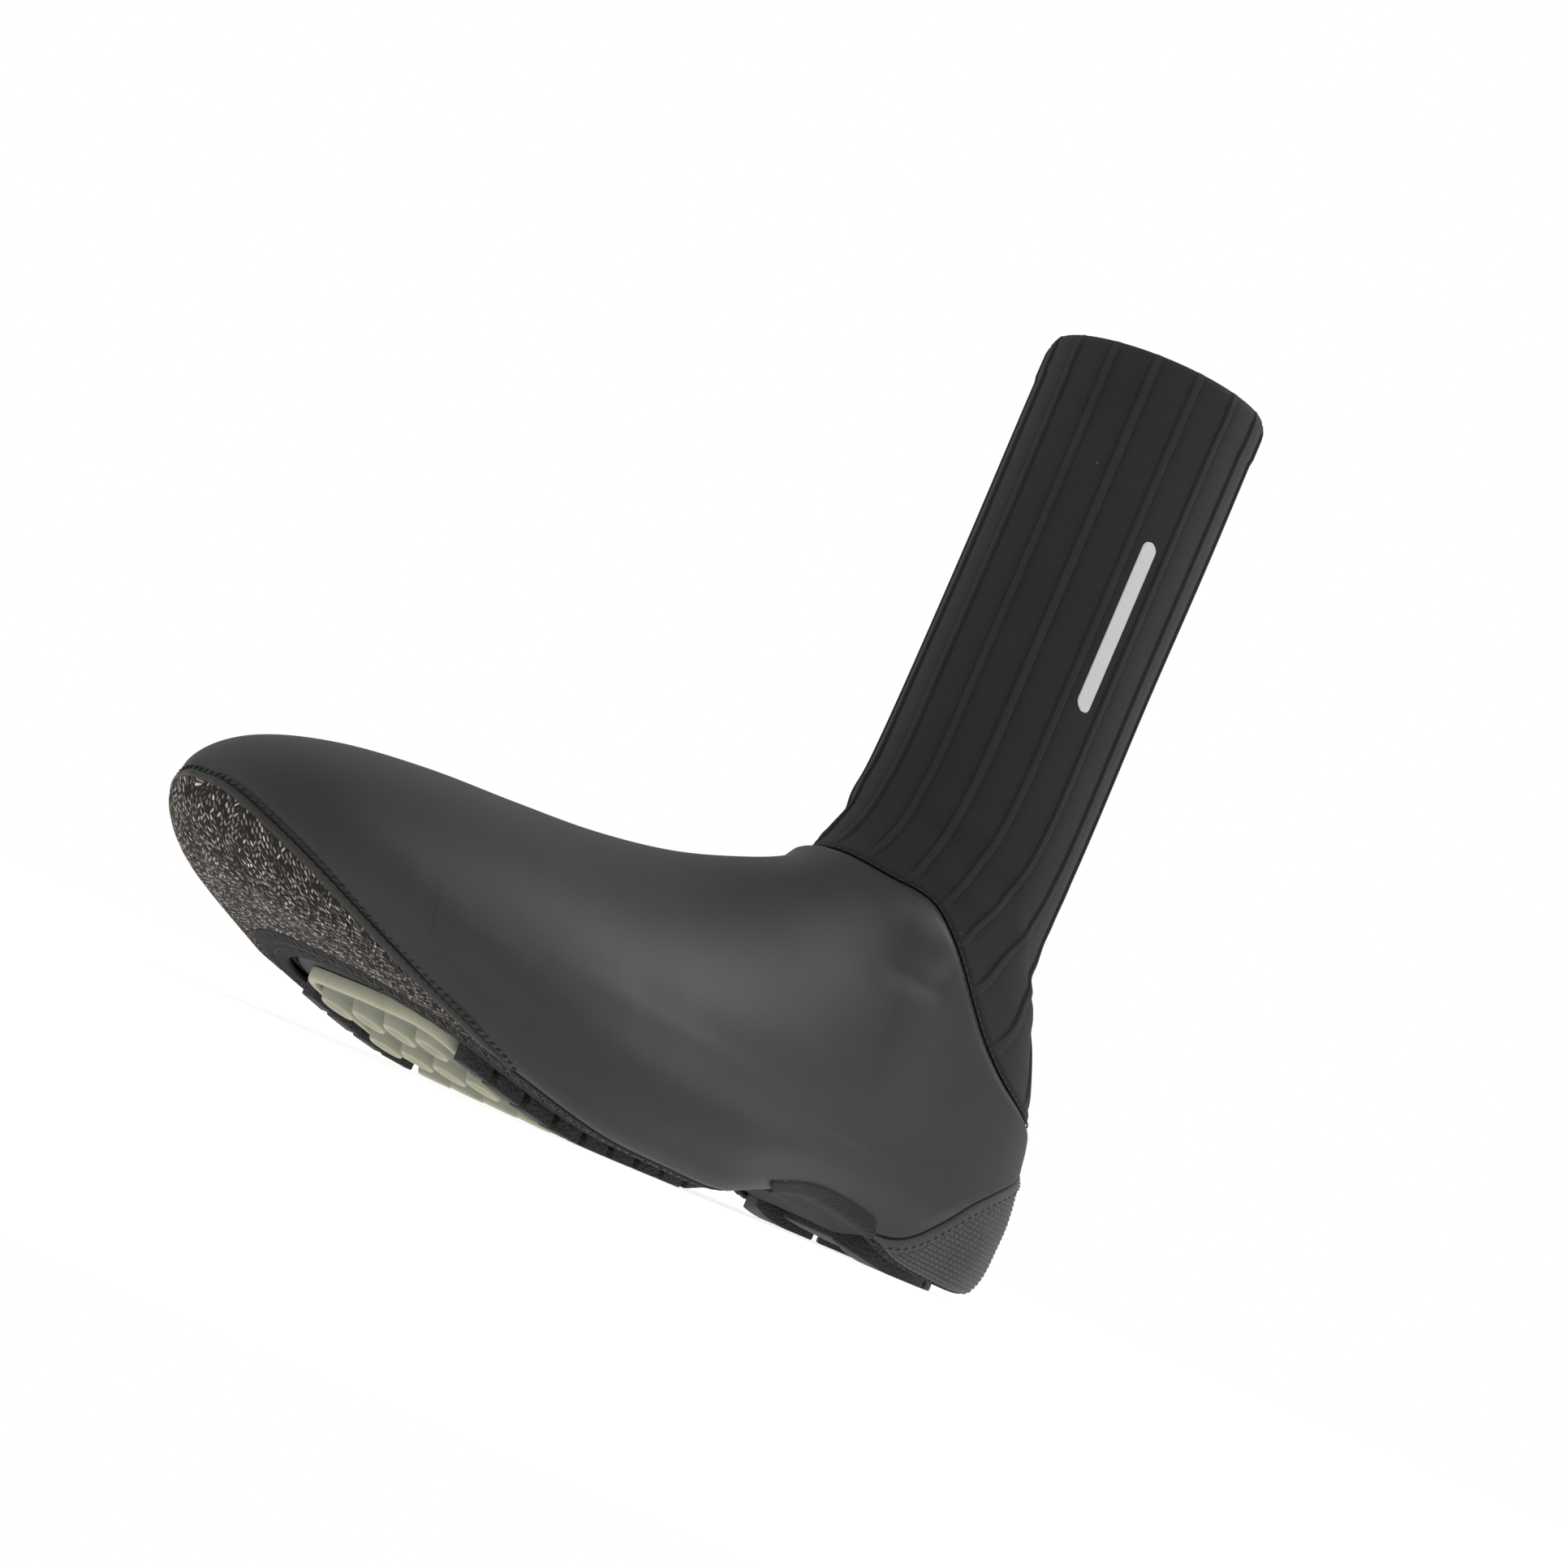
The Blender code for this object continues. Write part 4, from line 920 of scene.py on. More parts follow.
# Heel seam: the top edge of the heel cloth, turned under into a smooth flat fold.
# A straight row of black stitches below its edge holds it to the upper.
FOLD_SIZES = (-0.3, FOLD_WIDTH, 0.75, 0.35)
HEEL_STITCH = 2.7
HEEL_FILLED = 0.74
HEEL_THREAD = 0.55
line_turn = np.linspace(-HEEL_HALF_TURN, HEEL_HALF_TURN, 500)[2:-2]
heel_seam = seam_frame(line_turn, heel_line(line_turn % 1.0))
heel_roll = seam_roll("heel_seam_fold", heel_seam, *FOLD_SIZES)
fold_point, fold_normal, fold_down = heel_seam
stitched = fold_point + 2.2 * fold_down + 0.2 * fold_normal
heel_stitches = stitch_line(
    "heel_seam_stitches", stitched, fold_normal, HEEL_STITCH, HEEL_FILLED, HEEL_THREAD)
for made in (heel_roll, heel_stitches):
    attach(made, "root")
fold_cloth = Finish("folded heel cloth", 0.75, sheen=0.15, specular=0.35, Broad=120.0, Fine=2600.0, Lint=0.4)
fold_cloth.grained(HEEL_GROUND, BAR_LIGHT, 0.00015)
fold_cloth.dress(heel_roll)
thread.dress(heel_stitches)

# Edge binding: black elastic tape folded over the raw edge of the opening under the foot.
# A zigzag seam runs along its outer half, a straight one along its middle, and its knit is fuzzy.
BINDING_PROUD = 0.9
BINDING_SUNK = 0.9
PUCKER = 0.12
PUCKER_PITCH = 6.3
# Troughs across the tape, as depth, place and width in shares of the tape.
TAPE_GROOVES = ((0.30, 0.46, 0.05), (0.22, 0.72, 0.20))
TAPE_COLUMNS = 720
TAPE_ROWS = 26
tape_turn = np.arange(TAPE_COLUMNS) / TAPE_COLUMNS
tape_level = np.linspace(0.0, BINDING_RING + SEAM_GAP, TAPE_ROWS)
wide_turn = np.broadcast_to(tape_turn, (TAPE_ROWS, TAPE_COLUMNS))
tape_point, tape_normal, _ = skin_frame(wide_turn, np.broadcast_to(tape_level[:, None], wide_turn.shape))
across_tape = np.linspace(0, 1, TAPE_ROWS)[:, None]
tape_around = run_lengths(tape_point[TAPE_ROWS // 2], 0)
puckers = PUCKER * np.sin(2 * np.pi * tape_around / PUCKER_PITCH)[None, :] * np.sin(np.pi * across_tape)
crown = BINDING_PROUD * np.sqrt(np.clip(1 - (2 * across_tape - 1) ** 6, 0, 1))
groove = sum(swell(deep, across_tape - at, wide) for deep, at, wide in TAPE_GROOVES)
tape_height = crown - groove + puckers - 0.4
tape_outer = tape_point + tape_normal * tape_height[..., None]
tape_inner = np.array([skin(tape_turn, np.full(TAPE_COLUMNS, s), -BINDING_SUNK) for s in tape_level[::-3]])
rings = np.concatenate([tape_outer, tape_inner])
binding = tube_piece("binding_tape", rings, tape_around, run_lengths(rings, 0))
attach(binding, "root")
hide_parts("edge_binding")

TAPE_DARK = (0.0055, 0.0055, 0.0055)
TAPE_LIGHT = (0.022, 0.022, 0.022)
TAPE_RIB = 1.05
TAPE_SLANT = 2.4
tape = Finish("elastic tape", 0.88, sheen=0.06, specular=0.15, Broad=180.0, Fine=1500.0, Lint=0.5)
u, v = tape.cloth_map()
slanted = tape.scaled(tape.wave(v, TAPE_SLANT), 2.0, 0.5)
fuzz = tape.plus(tape.times(tape.wave(u, TAPE_RIB, slanted), 0.6), tape.grain)
tape.colour(tape.mix(tape.times(fuzz, 0.6, clamp=True), TAPE_DARK, TAPE_LIGHT))
tape.bump(fuzz, 0.0003)
tape.dress(binding)

ZIG_PITCH = 1.55
ZIG_IN = 0.55
ZIG_OUT = 0.93
STRAIGHT_AT = 0.44
STRAIGHT_PITCH = 2.4
STRAIGHT_FILLED = 0.72
TAPE_THREAD = 0.42
TAPE_THREAD_DARK = (0.012, 0.012, 0.012)
TAPE_THREAD_LIGHT = (0.04, 0.04, 0.04)
inner_line, inner_normal, _ = skin_frame(tape_turn, np.full(TAPE_COLUMNS, ZIG_IN))
outer_line = skin(tape_turn, np.full(TAPE_COLUMNS, ZIG_OUT))
outer_run = run_lengths(outer_line, 0)
zig_in, zig_out, zig_normal = spaced(outer_run, ZIG_PITCH, inner_line, outer_line, inner_normal)
swing = np.where((np.arange(len(zig_in)) % 2 == 0)[:, None], zig_in, zig_out) + zig_normal * 0.2
zigzag = stitch_run("binding_zigzag", swing[:-1], swing[1:], zig_normal[:-1], TAPE_THREAD)
middle_line, middle_normal, _ = skin_frame(tape_turn, np.full(TAPE_COLUMNS, STRAIGHT_AT))
middle_line += 0.1 * middle_normal
straight = stitch_line(
    "binding_stitches", middle_line, middle_normal, STRAIGHT_PITCH, STRAIGHT_FILLED, TAPE_THREAD)
for made in (zigzag, straight):
    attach(made, "root")
tape_thread = Finish("tape thread", 0.5, specular=0.4, Broad=220.0, Fine=3800.0)
tape_thread.colour(tape_thread.mix(tape_thread.grain, TAPE_THREAD_DARK, TAPE_THREAD_LIGHT))
tape_thread.dress(zigzag, straight)

# Outsole: moulded rubber that closes the opening under the foot, shaped like a hollow-sided tray.
# Its forefoot has rows of square tread blocks, its heel a U of larger ones round a low smooth island.
SLAB_CLEAR = 1.7
FLANGE_CLEAR = 0.5
SOLE_COLUMNS = 240
SLAB_LEVELS = np.concatenate([np.linspace(3.7, 0.7, 22), [0.52, 0.35]])
PLATFORM_INSET = 1.4
TREAD_BASE = 1.6
FACE_LIFT = -3.7
BLOCK_ROWS = np.arange(123, 234, 10.6)
BLOCK_LENGTH = 8.6
BLOCK_COLUMNS = ((-0.97, -0.70), (-0.62, -0.36), (-0.29, -0.04), (0.04, 0.29), (0.36, 0.62), (0.70, 0.97))
BLOCK_GROOVE = 1.6
BLOCK_BEVEL = 0.55
LEAST_BLOCK = 2.5
HEEL_BLOCKS = ((-0.150, -0.094), (-0.088, -0.033), (-0.027, 0.027), (0.033, 0.088), (0.094, 0.150))
HEEL_RIM = 11.0
ISLAND_AT = (26, 58)
ISLAND_SHARES = (-0.42, 0.42)
ISLAND_LIFT = -1.4
PAD_REAR = 151.0
PAD_FRONT = 233.0
PAD_BOW = 0.8
PAD_SIDES = ((-33.0, 30.0), (-30.0, 27.0))


def platform_side(along, share):
    """Across position at a share, from -1 on the inner side to 1, of the platform's width."""
    front = EDGE[0, 0] - PLATFORM_INSET
    back = EDGE[0, 1] + PLATFORM_INSET
    centre, half = edge_sides(0, along, front, back, PLATFORM_INSET)
    return centre + share * half


def pad_side(along, share, inset=0.0):
    """Across position at a share of the pad's width, 0 on the inner side and 1 on the outer."""
    t = (along - PAD_REAR) / (PAD_FRONT - PAD_REAR)
    inner = PAD_SIDES[0][0] + (PAD_SIDES[1][0] - PAD_SIDES[0][0]) * t + inset
    outer = PAD_SIDES[0][1] + (PAD_SIDES[1][1] - PAD_SIDES[0][1]) * t - inset
    return inner + (outer - inner) * share


def stack_piece(name, rings, v):
    """Closed solid through rings of points that start at the back, with both ends closed across."""
    rows, columns = rings.shape[:2]
    i, j = quads(rows, columns, False, True)
    faces = (i * columns + j % columns).tolist()
    uvs = np.stack([j * 300.0 / columns, np.asarray(v)[i]], -1).reshape(-1, 2).tolist()
    for row in (0, rows - 1):
        for k in range(columns // 2):
            cell = dict.fromkeys([k, k + 1, columns - k - 1, (columns - k) % columns])
            faces.append([row * columns + corner for corner in cell])
            uvs += [(0.0, v[row])] * len(cell)
    return mesh_piece(name, rings.reshape(-1, 3), faces, uvs, sharp=0.7)


def joined(name, pieces):
    """One piece made of several, which keep their maps and materials."""
    with bpy.context.temp_override(active_object=pieces[0], selected_editable_objects=pieces):
        bpy.ops.object.join()
    pieces[0].name = name
    return pieces[0]


def bevelled_blocks(name, blocks, bevel):
    """One piece of closed blocks with eased edges, each from a list of stations of four corners."""
    shell = bmesh.new()
    for stations in blocks:
        rows = [[shell.verts.new(corner) for corner in placed(station)] for station in stations]
        for a, b in zip(rows, rows[1:]):
            for k in range(4):
                shell.faces.new((a[k], a[(k + 1) % 4], b[(k + 1) % 4], b[k]))
        shell.faces.new(rows[0][::-1])
        shell.faces.new(rows[-1])
    bmesh.ops.recalc_face_normals(shell, faces=shell.faces)
    edges = [edge for edge in shell.edges if edge.calc_face_angle(0) > 0.5]
    bmesh.ops.bevel(shell, geom=edges, offset=bevel * MM, segments=2, profile=0.6, affect="EDGES")
    mesh = bpy.data.meshes.new(name)
    shell.to_mesh(mesh)
    shell.free()
    mesh.uv_layers.new(name="cloth")
    return linked(name, mesh, sharp=0.9)


def tread_face(along):
    """Lift of a tread block's face over the underside, never below the floor."""
    return np.maximum(FACE_LIFT, -last("under", along))


def tread_station(along, near, far, face):
    """Four corners of a tread block at a station: two on its face and two inside the sole."""
    under = last("under", np.asarray(along, float))
    low, top = under + face, under + TREAD_BASE + 0.8
    return np.array([(along, near, low), (along, far, low), (along, far, top), (along, near, top)])


sole_turn = np.arange(SOLE_COLUMNS) / SOLE_COLUMNS
clearance = np.where(SLAB_LEVELS < BINDING_RING, FLANGE_CLEAR, SLAB_CLEAR) + UPPER_WALL / MM
rings = [skin(sole_turn, np.full(SOLE_COLUMNS, level), -c) for level, c in zip(SLAB_LEVELS, clearance)]
platform = edge_ring(0, sole_turn, PLATFORM_INSET)
top_edge = platform.copy()
top_edge[:, 2] = rings[-1][:, 2]
rings += [top_edge, platform + np.array([0, 0, TREAD_BASE + 0.3])]
rings.append(edge_ring(0, sole_turn, PLATFORM_INSET + 0.5))
rings[-1][:, 2] = last("under", rings[-1][:, 0]) + TREAD_BASE
slab = stack_piece("sole_slab", np.array(rings), np.arange(len(rings)) * 2.0)

blocks = []
for along in BLOCK_ROWS:
    at = np.array([along - BLOCK_LENGTH / 2, along + BLOCK_LENGTH / 2])
    sides = [(platform_side(at, low), platform_side(at, high)) for low, high in BLOCK_COLUMNS]
    clear = PAD_BOW + BLOCK_GROOVE
    if at[1] > PAD_REAR - clear and at[0] < PAD_FRONT + clear:
        beside = np.clip(at, PAD_REAR, PAD_FRONT)
        inner, outer = pad_side(beside, 0) - BLOCK_GROOVE, pad_side(beside, 1) + BLOCK_GROOVE
        sides = [(sides[0][0], inner), (outer, sides[-1][1])]
    for near, far in sides:
        if (far - near).min() > LEAST_BLOCK:
            blocks.append([tread_station(a, n, f, tread_face(a)) for a, n, f in zip(at, near, far)])
for start, stop in HEEL_BLOCKS:
    turn = np.linspace(start, stop, 13) % 1.0
    stations = []
    for o, i in zip(edge_ring(0, turn, PLATFORM_INSET + 0.3), edge_ring(0, turn, PLATFORM_INSET + HEEL_RIM)):
        low_o, low_i = (tread_station(p[0], p[1], p[1], tread_face(p[0])) for p in (o, i))
        stations.append(np.array([low_i[0], low_o[0], low_o[3], low_i[3]]))
    blocks.append(stations)
at = np.linspace(*ISLAND_AT, 9)
sides = [platform_side(at, share) for share in ISLAND_SHARES]
blocks.append([tread_station(a, n, f, ISLAND_LIFT) for a, n, f in zip(at, *sides)])
outsole = joined("sole", [slab, bevelled_blocks("sole_blocks", blocks, BLOCK_BEVEL)])
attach(outsole, "root")
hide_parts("outsole")

RUBBER_DARK = (0.010, 0.010, 0.010)
RUBBER_LIGHT = (0.036, 0.036, 0.035)
DUST = (0.22, 0.205, 0.18)
rubber = Finish("pebbled rubber", 0.6, specular=0.4, Broad=45.0, Fine=1300.0, Lint=0.7)
place = rubber.add("ShaderNodeTexCoord").outputs["Object"]
pebble = rubber.add("ShaderNodeTexVoronoi", {"Vector": place, "Scale": 1100.0}, feature="SMOOTH_F1")
pebble = pebble.outputs["Distance"]
# The colour darkens in the dips of the pebbling: painted shade, on a random broad tone.
tone = rubber.times(rubber.tone, rubber.plus(pebble, 0.5), clamp=True)
rubber.colour(rubber.mix(tone, RUBBER_DARK, RUBBER_LIGHT), DUST)
rubber.bump(pebble, 0.00035, 0.8)
rubber.dress(outsole)

# Grip pad: a paler moulded plate under the ball of the foot, where the cleat's threads would be.
# A cream rim runs round its grey-green floor, with rows of conical studs with dished cream tops.
PAD_CORNER = 10.0
PAD_STEPS = 12
# The profile of the rim and that of a stud, as inset or radius, lift and paleness.
PAD_PROFILE = (
    (0.0, 1.3, 0), (0.0, -1.4, 1), (0.3, -1.8, 1), (0.7, -1.9, 1), (1.9, -1.9, 1), (2.3, -1.8, 1),
    (2.6, -1.4, 1), (2.8, -0.2, 0), (3.2, 0.15, 0), (4.0, 0.2, 0),
)
STUD_ROWS = (163.0, 182.5, 202.0, 221.5)
STUD_SHARES = (0.145, 0.382, 0.618, 0.855)
STUD_SIDES = 36
STUD_PROFILE = (
    (6.5, 0.6, 0), (6.3, 0.15, 0), (5.9, -0.2, 0), (5.5, -1.2, 0), (4.95, -3.1, 0.4), (4.75, -3.55, 1),
    (4.5, -3.7, 1), (3.95, -3.7, 1), (3.7, -3.5, 1), (3.3, -3.0, 0.7), (2.6, -2.65, 0.5), (1.2, -2.55, 0.4),
)


def pad_ring(inset, lift):
    """Ring round the pad with rounded corners: rear middle, outer side, front middle, inner side."""
    corner = PAD_CORNER - inset
    rear, front = PAD_REAR + inset, PAD_FRONT - inset
    bend = corner * (1 - np.cos(np.linspace(0, np.pi / 2, PAD_STEPS)))
    straight = np.linspace(rear + corner, front - corner, 30)[1:-1]
    along = np.concatenate([rear + bend, straight, (front - bend)[::-1]])
    from_end = np.minimum(np.minimum(along - rear, front - along), corner)
    pull = corner - np.sqrt(np.maximum(corner**2 - (corner - from_end) ** 2, 0))
    outer = np.column_stack([along, pad_side(along, 1, inset) - pull])
    inner = np.column_stack([along, pad_side(along, 0, inset) + pull])
    middles = [(rear - PAD_BOW, pad_side(rear, 0.5)), (front + PAD_BOW, pad_side(front, 0.5))]
    outline = np.concatenate([middles[:1], outer, middles[1:], inner[::-1]])
    under = last("under", outline[:, 0])
    return np.column_stack([outline, under + np.maximum(lift, -under)])


rings = np.array([pad_ring(inset, lift) for inset, lift, _ in PAD_PROFILE])
plate = stack_piece("pad_plate", rings, [pale for _, _, pale in PAD_PROFILE])
angle = np.arange(STUD_SIDES) * 2 * np.pi / STUD_SIDES
radius, lift, pale = np.array(STUD_PROFILE).T
studs = []
for along in STUD_ROWS:
    for share in STUD_SHARES:
        a = along + radius[:, None] * np.cos(angle)
        under = last("under", a)
        spot = np.stack([a, pad_side(along, share) + radius[:, None] * np.sin(angle),
                         under + np.maximum(lift[:, None], -under)], -1)
        studs.append(stack_piece(f"stud_{len(studs)}", spot, pale))
grip_pad = joined("pad", [plate, *studs])
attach(grip_pad, "root")
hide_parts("grip_pad")

PAD_FLOOR_DARK = (0.20, 0.21, 0.170)
PAD_FLOOR_LIGHT = (0.34, 0.355, 0.290)
PAD_CREAM = (0.47, 0.455, 0.330)
PAD_DIRT = (0.060, 0.055, 0.042)
pad_rubber = Finish("pad rubber", 0.55, specular=0.4, Broad=70.0, Fine=900.0)
u, v = pad_rubber.cloth_map()
base = pad_rubber.mix(v, pad_rubber.mix(pad_rubber.tone, PAD_FLOOR_DARK, PAD_FLOOR_LIGHT), PAD_CREAM)
dirt = pad_rubber.scaled(pad_rubber.tone, 3.2, -1.85, clamp=True)
pad_rubber.colour(pad_rubber.mix(pad_rubber.times(dirt, 0.55), base, PAD_DIRT))
pad_rubber.bump(pad_rubber.grain, 0.00012)
pad_rubber.dress(grip_pad)

# Insole: a soft foam bed with a plain cloth top, cut from sheet with an eased edge.
# It lies on the outsole inside the cover and follows its curve.
INSOLE = 3.2
INSOLE_INSET = 3.4
BED_CLEAR = 0.45
# Rings of its edge, as share of the outline and share of the thickness.
INSOLE_EDGE = ((1.0, 0.0), (1.0, 0.75), (0.99, 0.95), (0.975, 1.0))
FOAM_DARK = (0.010, 0.010, 0.011)
FOAM_LIGHT = (0.034, 0.034, 0.036)
bed = skin(sole_turn, np.full(SOLE_COLUMNS, SLAB_LEVELS[0]), -UPPER_WALL / MM - SLAB_CLEAR)
middle = (bed[0] + bed[SOLE_COLUMNS // 2]) / 2
spread = np.array([np.ptp(bed[:, 0]), np.ptp(bed[:, 1]), np.inf]) / 2
low = middle + (bed - middle) * (1 - INSOLE_INSET / spread)
half = SOLE_COLUMNS // 2 + 1
bed_up = np.maximum(bed[:half, 2], bed[-np.arange(half) % SOLE_COLUMNS, 2])
low[:, 2] = np.interp(low[:, 0], bed[:half, 0], bed_up) + BED_CLEAR
rings = []
for shrink, rise in INSOLE_EDGE:
    row = middle + (low - middle) * np.array([shrink, shrink, 1])
    row[:, 2] = np.interp(row[:, 0], low[:half, 0], low[:half, 2]) + INSOLE * rise
    rings.append(row)
insole = stack_piece("insole_foam", np.array(rings), [0, 1, 2, 3])
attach(insole, "root")
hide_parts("insole")
foam = Finish("insole cloth", 0.9, sheen=0.05, specular=0.2, Broad=40.0, Fine=1500.0, Lint=0.5)
foam.grained(FOAM_DARK, FOAM_LIGHT, 0.00025, LINT)
foam.dress(insole)

# Strap webbing: ribbed black tape from the inner side of the upper, crossing under the arch.
# Its cut end lies on the flap and has started to fray.
STRAP_FROM = 70.0
STRAP_TO = 118.0
STRAP_CLEAR = 1.0
WEB_END = 10.0
WEB_DROP = 1.0
WEB_THICK = 1.4
WEB_LEVELS = (2.6, 2.1, 1.7, 1.3, 0.9, 0.5)
WEB_RIB = 1.35
WEB_RELIEF = 0.22
FRAY_THREAD = 0.30
STRAP_ROWS = 110
STRAP_STEPS = 96


def strap_grids(side, levels, end, drop, thickness, corner, relief):
    """Outer and inner grids of a strap that leaves the wall on one side and crosses under the arch."""
    at = np.linspace(STRAP_FROM, STRAP_TO, STRAP_ROWS)
    from_edge = np.minimum(np.minimum(at - STRAP_FROM, STRAP_TO - at), corner)
    rounding = corner - np.sqrt(corner**2 - (corner - from_edge) ** 2)
    outer, inner, run = [], [], []
    for along, back_off in zip(at, rounding):
        share = (along - EDGE[1, 1]) / (EDGE[1, 0] - EDGE[1, 1])
        turn = np.arccos(1 - 2 * share) / (2 * np.pi)
        turn = np.full(len(levels), turn if side > 0 else 1 - turn)
        near = skin(turn, np.array(levels), STRAP_CLEAR)
        start = near[-1, 1]
        across = start + (end - start) * np.array([0.2, 0.45, 0.7, 1.0])
        flat = np.column_stack([np.full(4, along), across, np.full(4, last("under", np.array(along)) - drop)])
        path = np.concatenate([near, flat])
        knots = run_lengths(path, 0)
        even = np.linspace(0, knots[-1] - back_off, STRAP_STEPS)
        path = np.stack([spline(knots, path[:, k], even) for k in range(3)], -1)
        away = unit(np.cross(np.gradient(path, axis=0), (side, 0, 0)))
        inner.append(path)
        outer.append(path + away * (thickness + relief(along, even, knots[-1] - back_off))[:, None])
        run.append(even)
    u = np.broadcast_to(at[:, None], (STRAP_ROWS, STRAP_STEPS))
    return np.array(outer), np.array(inner), u, np.array(run)


def web_relief(along, run, length):
    edge = min(along - STRAP_FROM, STRAP_TO - along)
    ribs = WEB_RELIEF * np.cos(2 * np.pi * along / WEB_RIB)
    return ribs - swell(0.5, edge, 0.6) - swell(0.4, length - run, 0.8)


outer, inner, u, v = strap_grids(-1, WEB_LEVELS, WEB_END, WEB_DROP, WEB_THICK, 0.1, web_relief)
webbing = patch_piece("strap_webbing_tape", outer, inner, u, v)
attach(webbing, "root")
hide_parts("strap_webbing")
fray = np.random.default_rng(7)
ends = (outer[:, -1] + inner[:, -1]) / 2
way = unit(outer[:, -1] - outer[:, -3])
loose = way * fray.uniform(1.0, 3.2, (STRAP_ROWS, 1)) + fray.normal(0, 0.35, (STRAP_ROWS, 3))
upright = np.tile((0.0, 0.0, 1.0), (STRAP_ROWS, 1))
frayed = stitch_run("webbing_fray", ends - 0.8 * way, ends + loose, upright, FRAY_THREAD)
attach(frayed, "root")

WEB_DARK = (0.007, 0.007, 0.007)
WEB_LIGHT = (0.030, 0.030, 0.030)
WEB_PICK = 0.9
web_cloth = Finish("ribbed webbing", 0.8, sheen=0.05, specular=0.2, Broad=150.0, Fine=1800.0, Lint=0.5)
u, v = web_cloth.cloth_map()
pick = web_cloth.times(web_cloth.wave(v, WEB_PICK), web_cloth.wave(u, WEB_RIB))
picked = web_cloth.plus(pick, web_cloth.grain)
web_cloth.colour(web_cloth.mix(web_cloth.times(picked, 0.5, clamp=True), WEB_DARK, WEB_LIGHT))
web_cloth.bump(picked, 0.0002)
web_cloth.dress(webbing, frayed)

# Strap flap: a soft looped fleece tab from the outer side, which the webbing's hooks hold on to.
# Its free end has round corners, and a row of stitches runs inside its edge.
FLAP_END = -17.0
FLAP_DROP = 3.0
FLAP_THICK = 2.0
FLAP_CORNER = 9.0
FLAP_LEVELS = (2.2, 1.8, 1.4, 1.0, 0.6)
FLAP_SEAM = 3.0
FLAP_STITCH = 2.3
FLAP_FILLED = 0.72
FLAP_THREAD = 0.55


def flap_relief(along, run, length):
    edge = np.minimum(min(along - STRAP_FROM, STRAP_TO - along), length - run)
    pile = 0.10 * np.sin(along * 2.9 + 1.3 * np.sin(run * 1.7)) * np.sin(run * 3.1 + along)
    return pile - swell(0.5, edge - FLAP_SEAM, 0.7) - swell(0.8, edge, 0.8)


outer, inner, u, v = strap_grids(1, FLAP_LEVELS, FLAP_END, FLAP_DROP, FLAP_THICK, FLAP_CORNER, flap_relief)
flap = patch_piece("strap_flap_fleece", outer, inner, u, v)
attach(flap, "root")
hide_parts("strap_flap")

FLEECE_DARK = (0.010, 0.010, 0.010)
FLEECE_LIGHT = (0.040, 0.040, 0.039)
fleece = Finish("loop fleece", 0.95, sheen=0.06, specular=0.15, Broad=90.0, Fine=1100.0, Lint=0.8)
tone = fleece.times(fleece.plus(fleece.grain, fleece.tone), 0.5)
fleece.colour(fleece.mix(tone, FLEECE_DARK, FLEECE_LIGHT), LINT)
fleece.bump(fleece.grain, 0.0006)
fleece.dress(flap)

seam_in = int(round(FLAP_SEAM / (STRAP_TO - STRAP_FROM) * (STRAP_ROWS - 1)))
steps_in = STRAP_STEPS - 1 - int(round(FLAP_SEAM / v[STRAP_ROWS // 2, 1]))
side_there, end, side_back = outer[seam_in], outer[seam_in:-seam_in, steps_in], outer[-1 - seam_in]
path = np.concatenate([side_there[:steps_in], end, side_back[steps_in::-1]])
below = np.tile((0.0, 0.0, -1.0), (len(path), 1))
flap_stitches = stitch_line("flap_stitches", path, below, FLAP_STITCH, FLAP_FILLED, FLAP_THREAD)
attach(flap_stitches, "root")
thread.dress(flap_stitches)

# Stage: a white paper floor and backdrop under soft light, as for a catalogue picture.
# The floor shows a little brighter than the light it throws up, and the camera is low and rolled.
FLOOR_SIZE = 60.0
FLOOR_GLOW = 0.86
FLOOR_BOUNCE = 0.8
DOME_LIGHT = 0.42
PAPER_DARK = (0.42, 0.42, 0.42)
PAPER_LIGHT = (0.46, 0.46, 0.46)
WHITE = (1.0, 1.0, 1.0, 1)
bpy.ops.mesh.primitive_plane_add(size=FLOOR_SIZE)
floor = bpy.context.object
floor.name = "floor"
paper = Finish("white paper", 0.9, specular=0.1, Broad=3.0, Fine=300.0)
paper.colour(paper.mix(paper.tone, PAPER_DARK, PAPER_LIGHT))
paper.shader.inputs["Emission Color"].default_value = WHITE
seen = paper.add("ShaderNodeLightPath").outputs["Is Camera Ray"]
paper.link(paper.scaled(seen, FLOOR_GLOW - FLOOR_BOUNCE, FLOOR_BOUNCE), "Emission Strength")
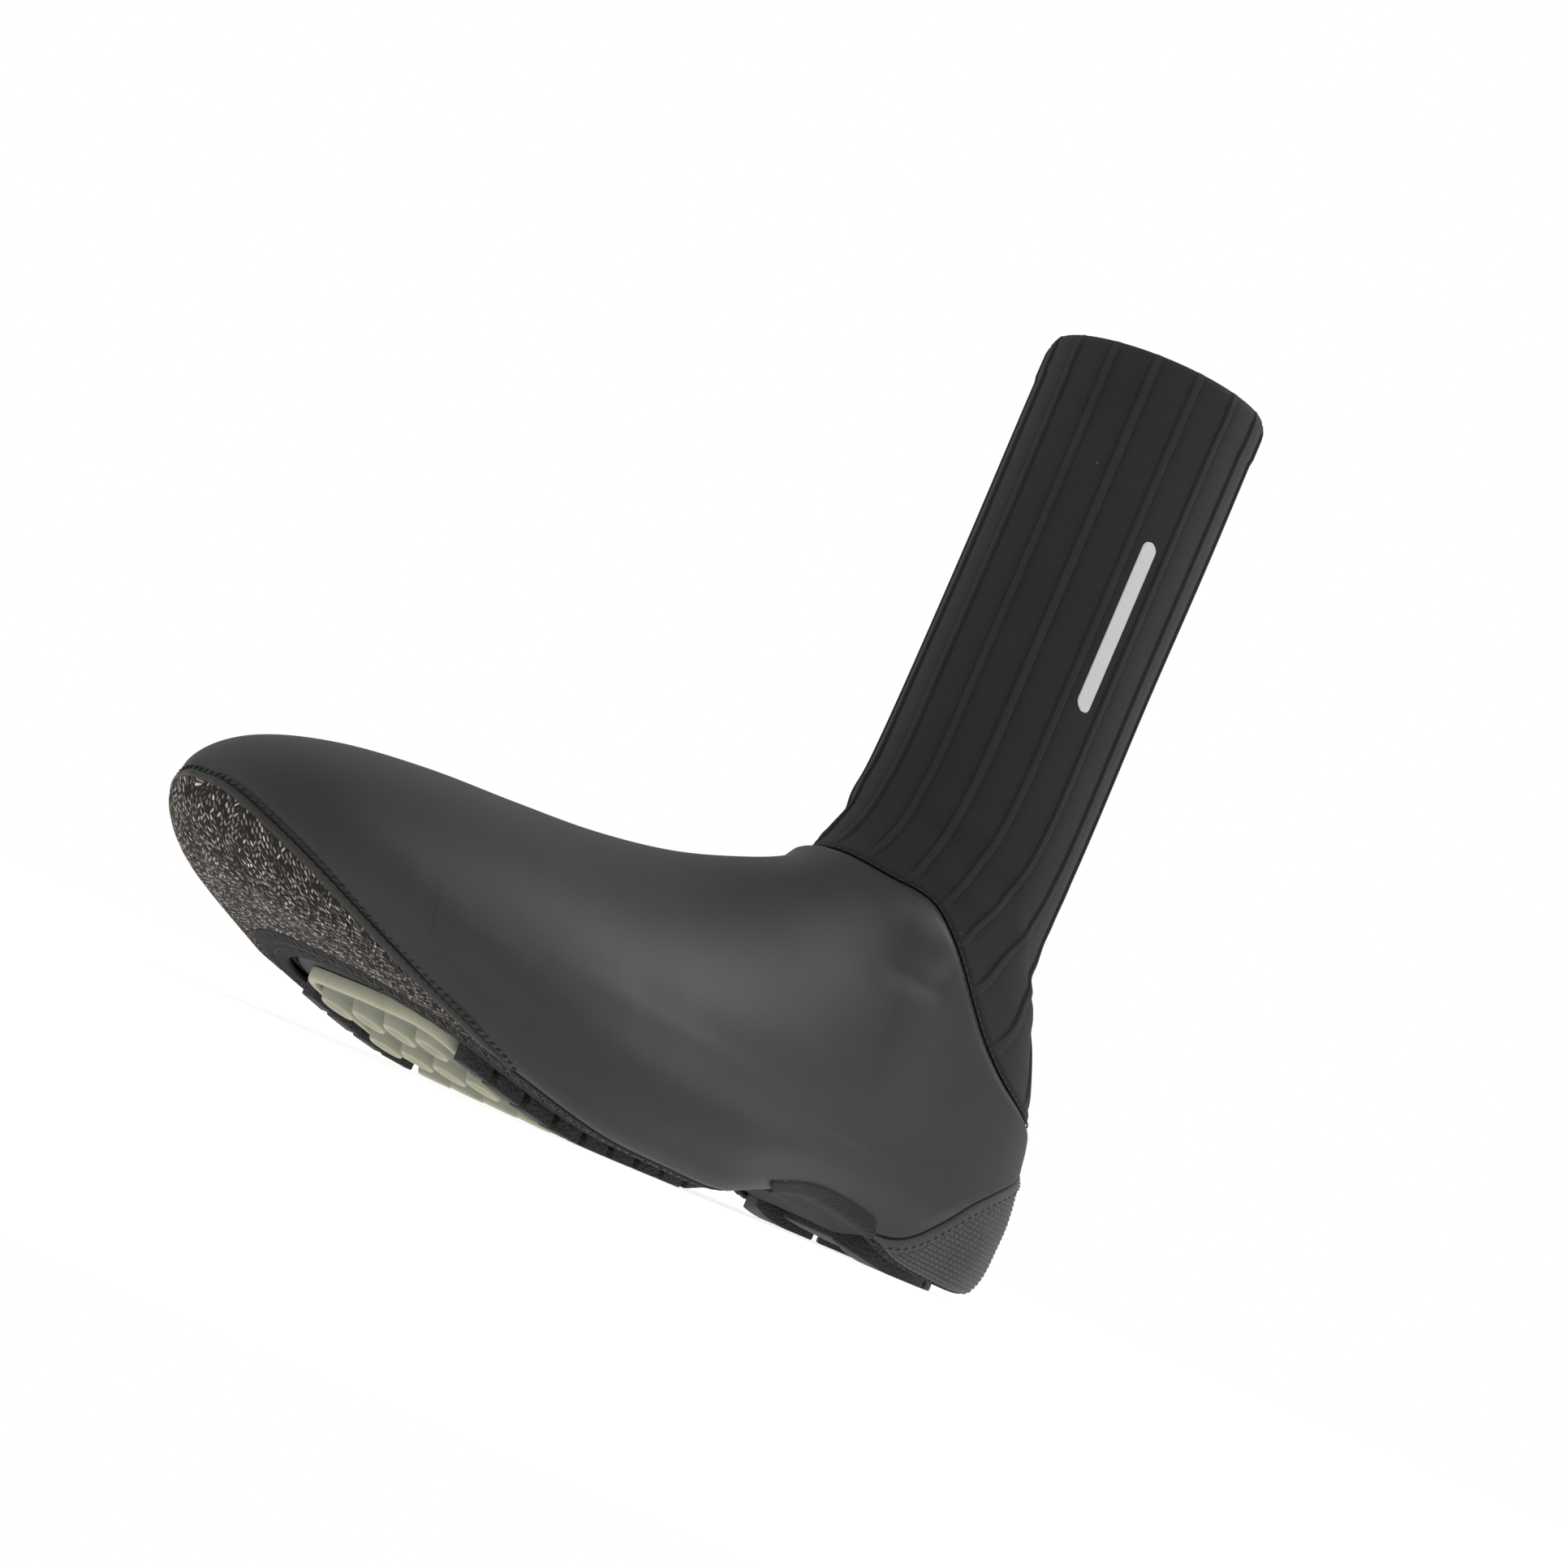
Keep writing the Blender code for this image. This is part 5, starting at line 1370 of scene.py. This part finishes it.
paper.dress(floor)

world = bpy.data.worlds.new("studio")
bpy.context.scene.world = world
world.use_nodes = True
sky = Nodes(world.node_tree)
seen = sky.add("ShaderNodeLightPath").outputs["Is Camera Ray"]
background = sky.tree.nodes["Background"].inputs
background["Color"].default_value = WHITE
sky.tree.links.new(sky.scaled(seen, 1.0 - DOME_LIGHT, DOME_LIGHT), background["Strength"])

# Round lamps, as name, place, size and power.
LAMPS = (
    ("key", (0.15, -1.1, 1.35), 1.1, 8.0),
    ("fill", (-1.3, 0.5, 0.7), 1.0, 2.5),
    ("rim", (1.0, -0.2, 1.0), 0.6, 5.0),
)
AIM = Vector((0.02, 0.0, 0.10))
for name, place, size, power in LAMPS:
    lamp = bpy.data.lights.new(name, "AREA")
    lamp.shape = "DISK"
    lamp.size = size
    lamp.energy = power
    holder = bpy.data.objects.new(name, lamp)
    holder.location = place
    holder.rotation_euler = (AIM - holder.location).to_track_quat("-Z", "Y").to_euler()
    bpy.context.scene.collection.objects.link(holder)

CAMERA_AZIMUTH = math.radians(317)
CAMERA_DISTANCE = 0.95
CAMERA_HEIGHT = 0.010
CAMERA_ROLL = math.radians(23.3)
CAMERA_LENS = 81.0
CAMERA_SHIFT = (-0.004, 0.034)
LOOK_AT = Vector((0.030, 0.004, 0.098))
eye = bpy.data.cameras.new("eye")
eye.lens = CAMERA_LENS
eye.shift_x, eye.shift_y = CAMERA_SHIFT
camera = bpy.data.objects.new("eye", eye)
ground = Vector((math.sin(CAMERA_AZIMUTH), -math.cos(CAMERA_AZIMUTH), 0)) * CAMERA_DISTANCE
camera.location = Vector((LOOK_AT.x, LOOK_AT.y, CAMERA_HEIGHT)) + ground
looking = (LOOK_AT - camera.location).to_track_quat("-Z", "Y").to_matrix().to_4x4()
camera.matrix_world = Matrix.Translation(camera.location) @ looking @ Matrix.Rotation(CAMERA_ROLL, 4, "Z")
bpy.context.scene.collection.objects.link(camera)
bpy.context.scene.camera = camera
bpy.context.scene.view_settings.view_transform = "Standard"
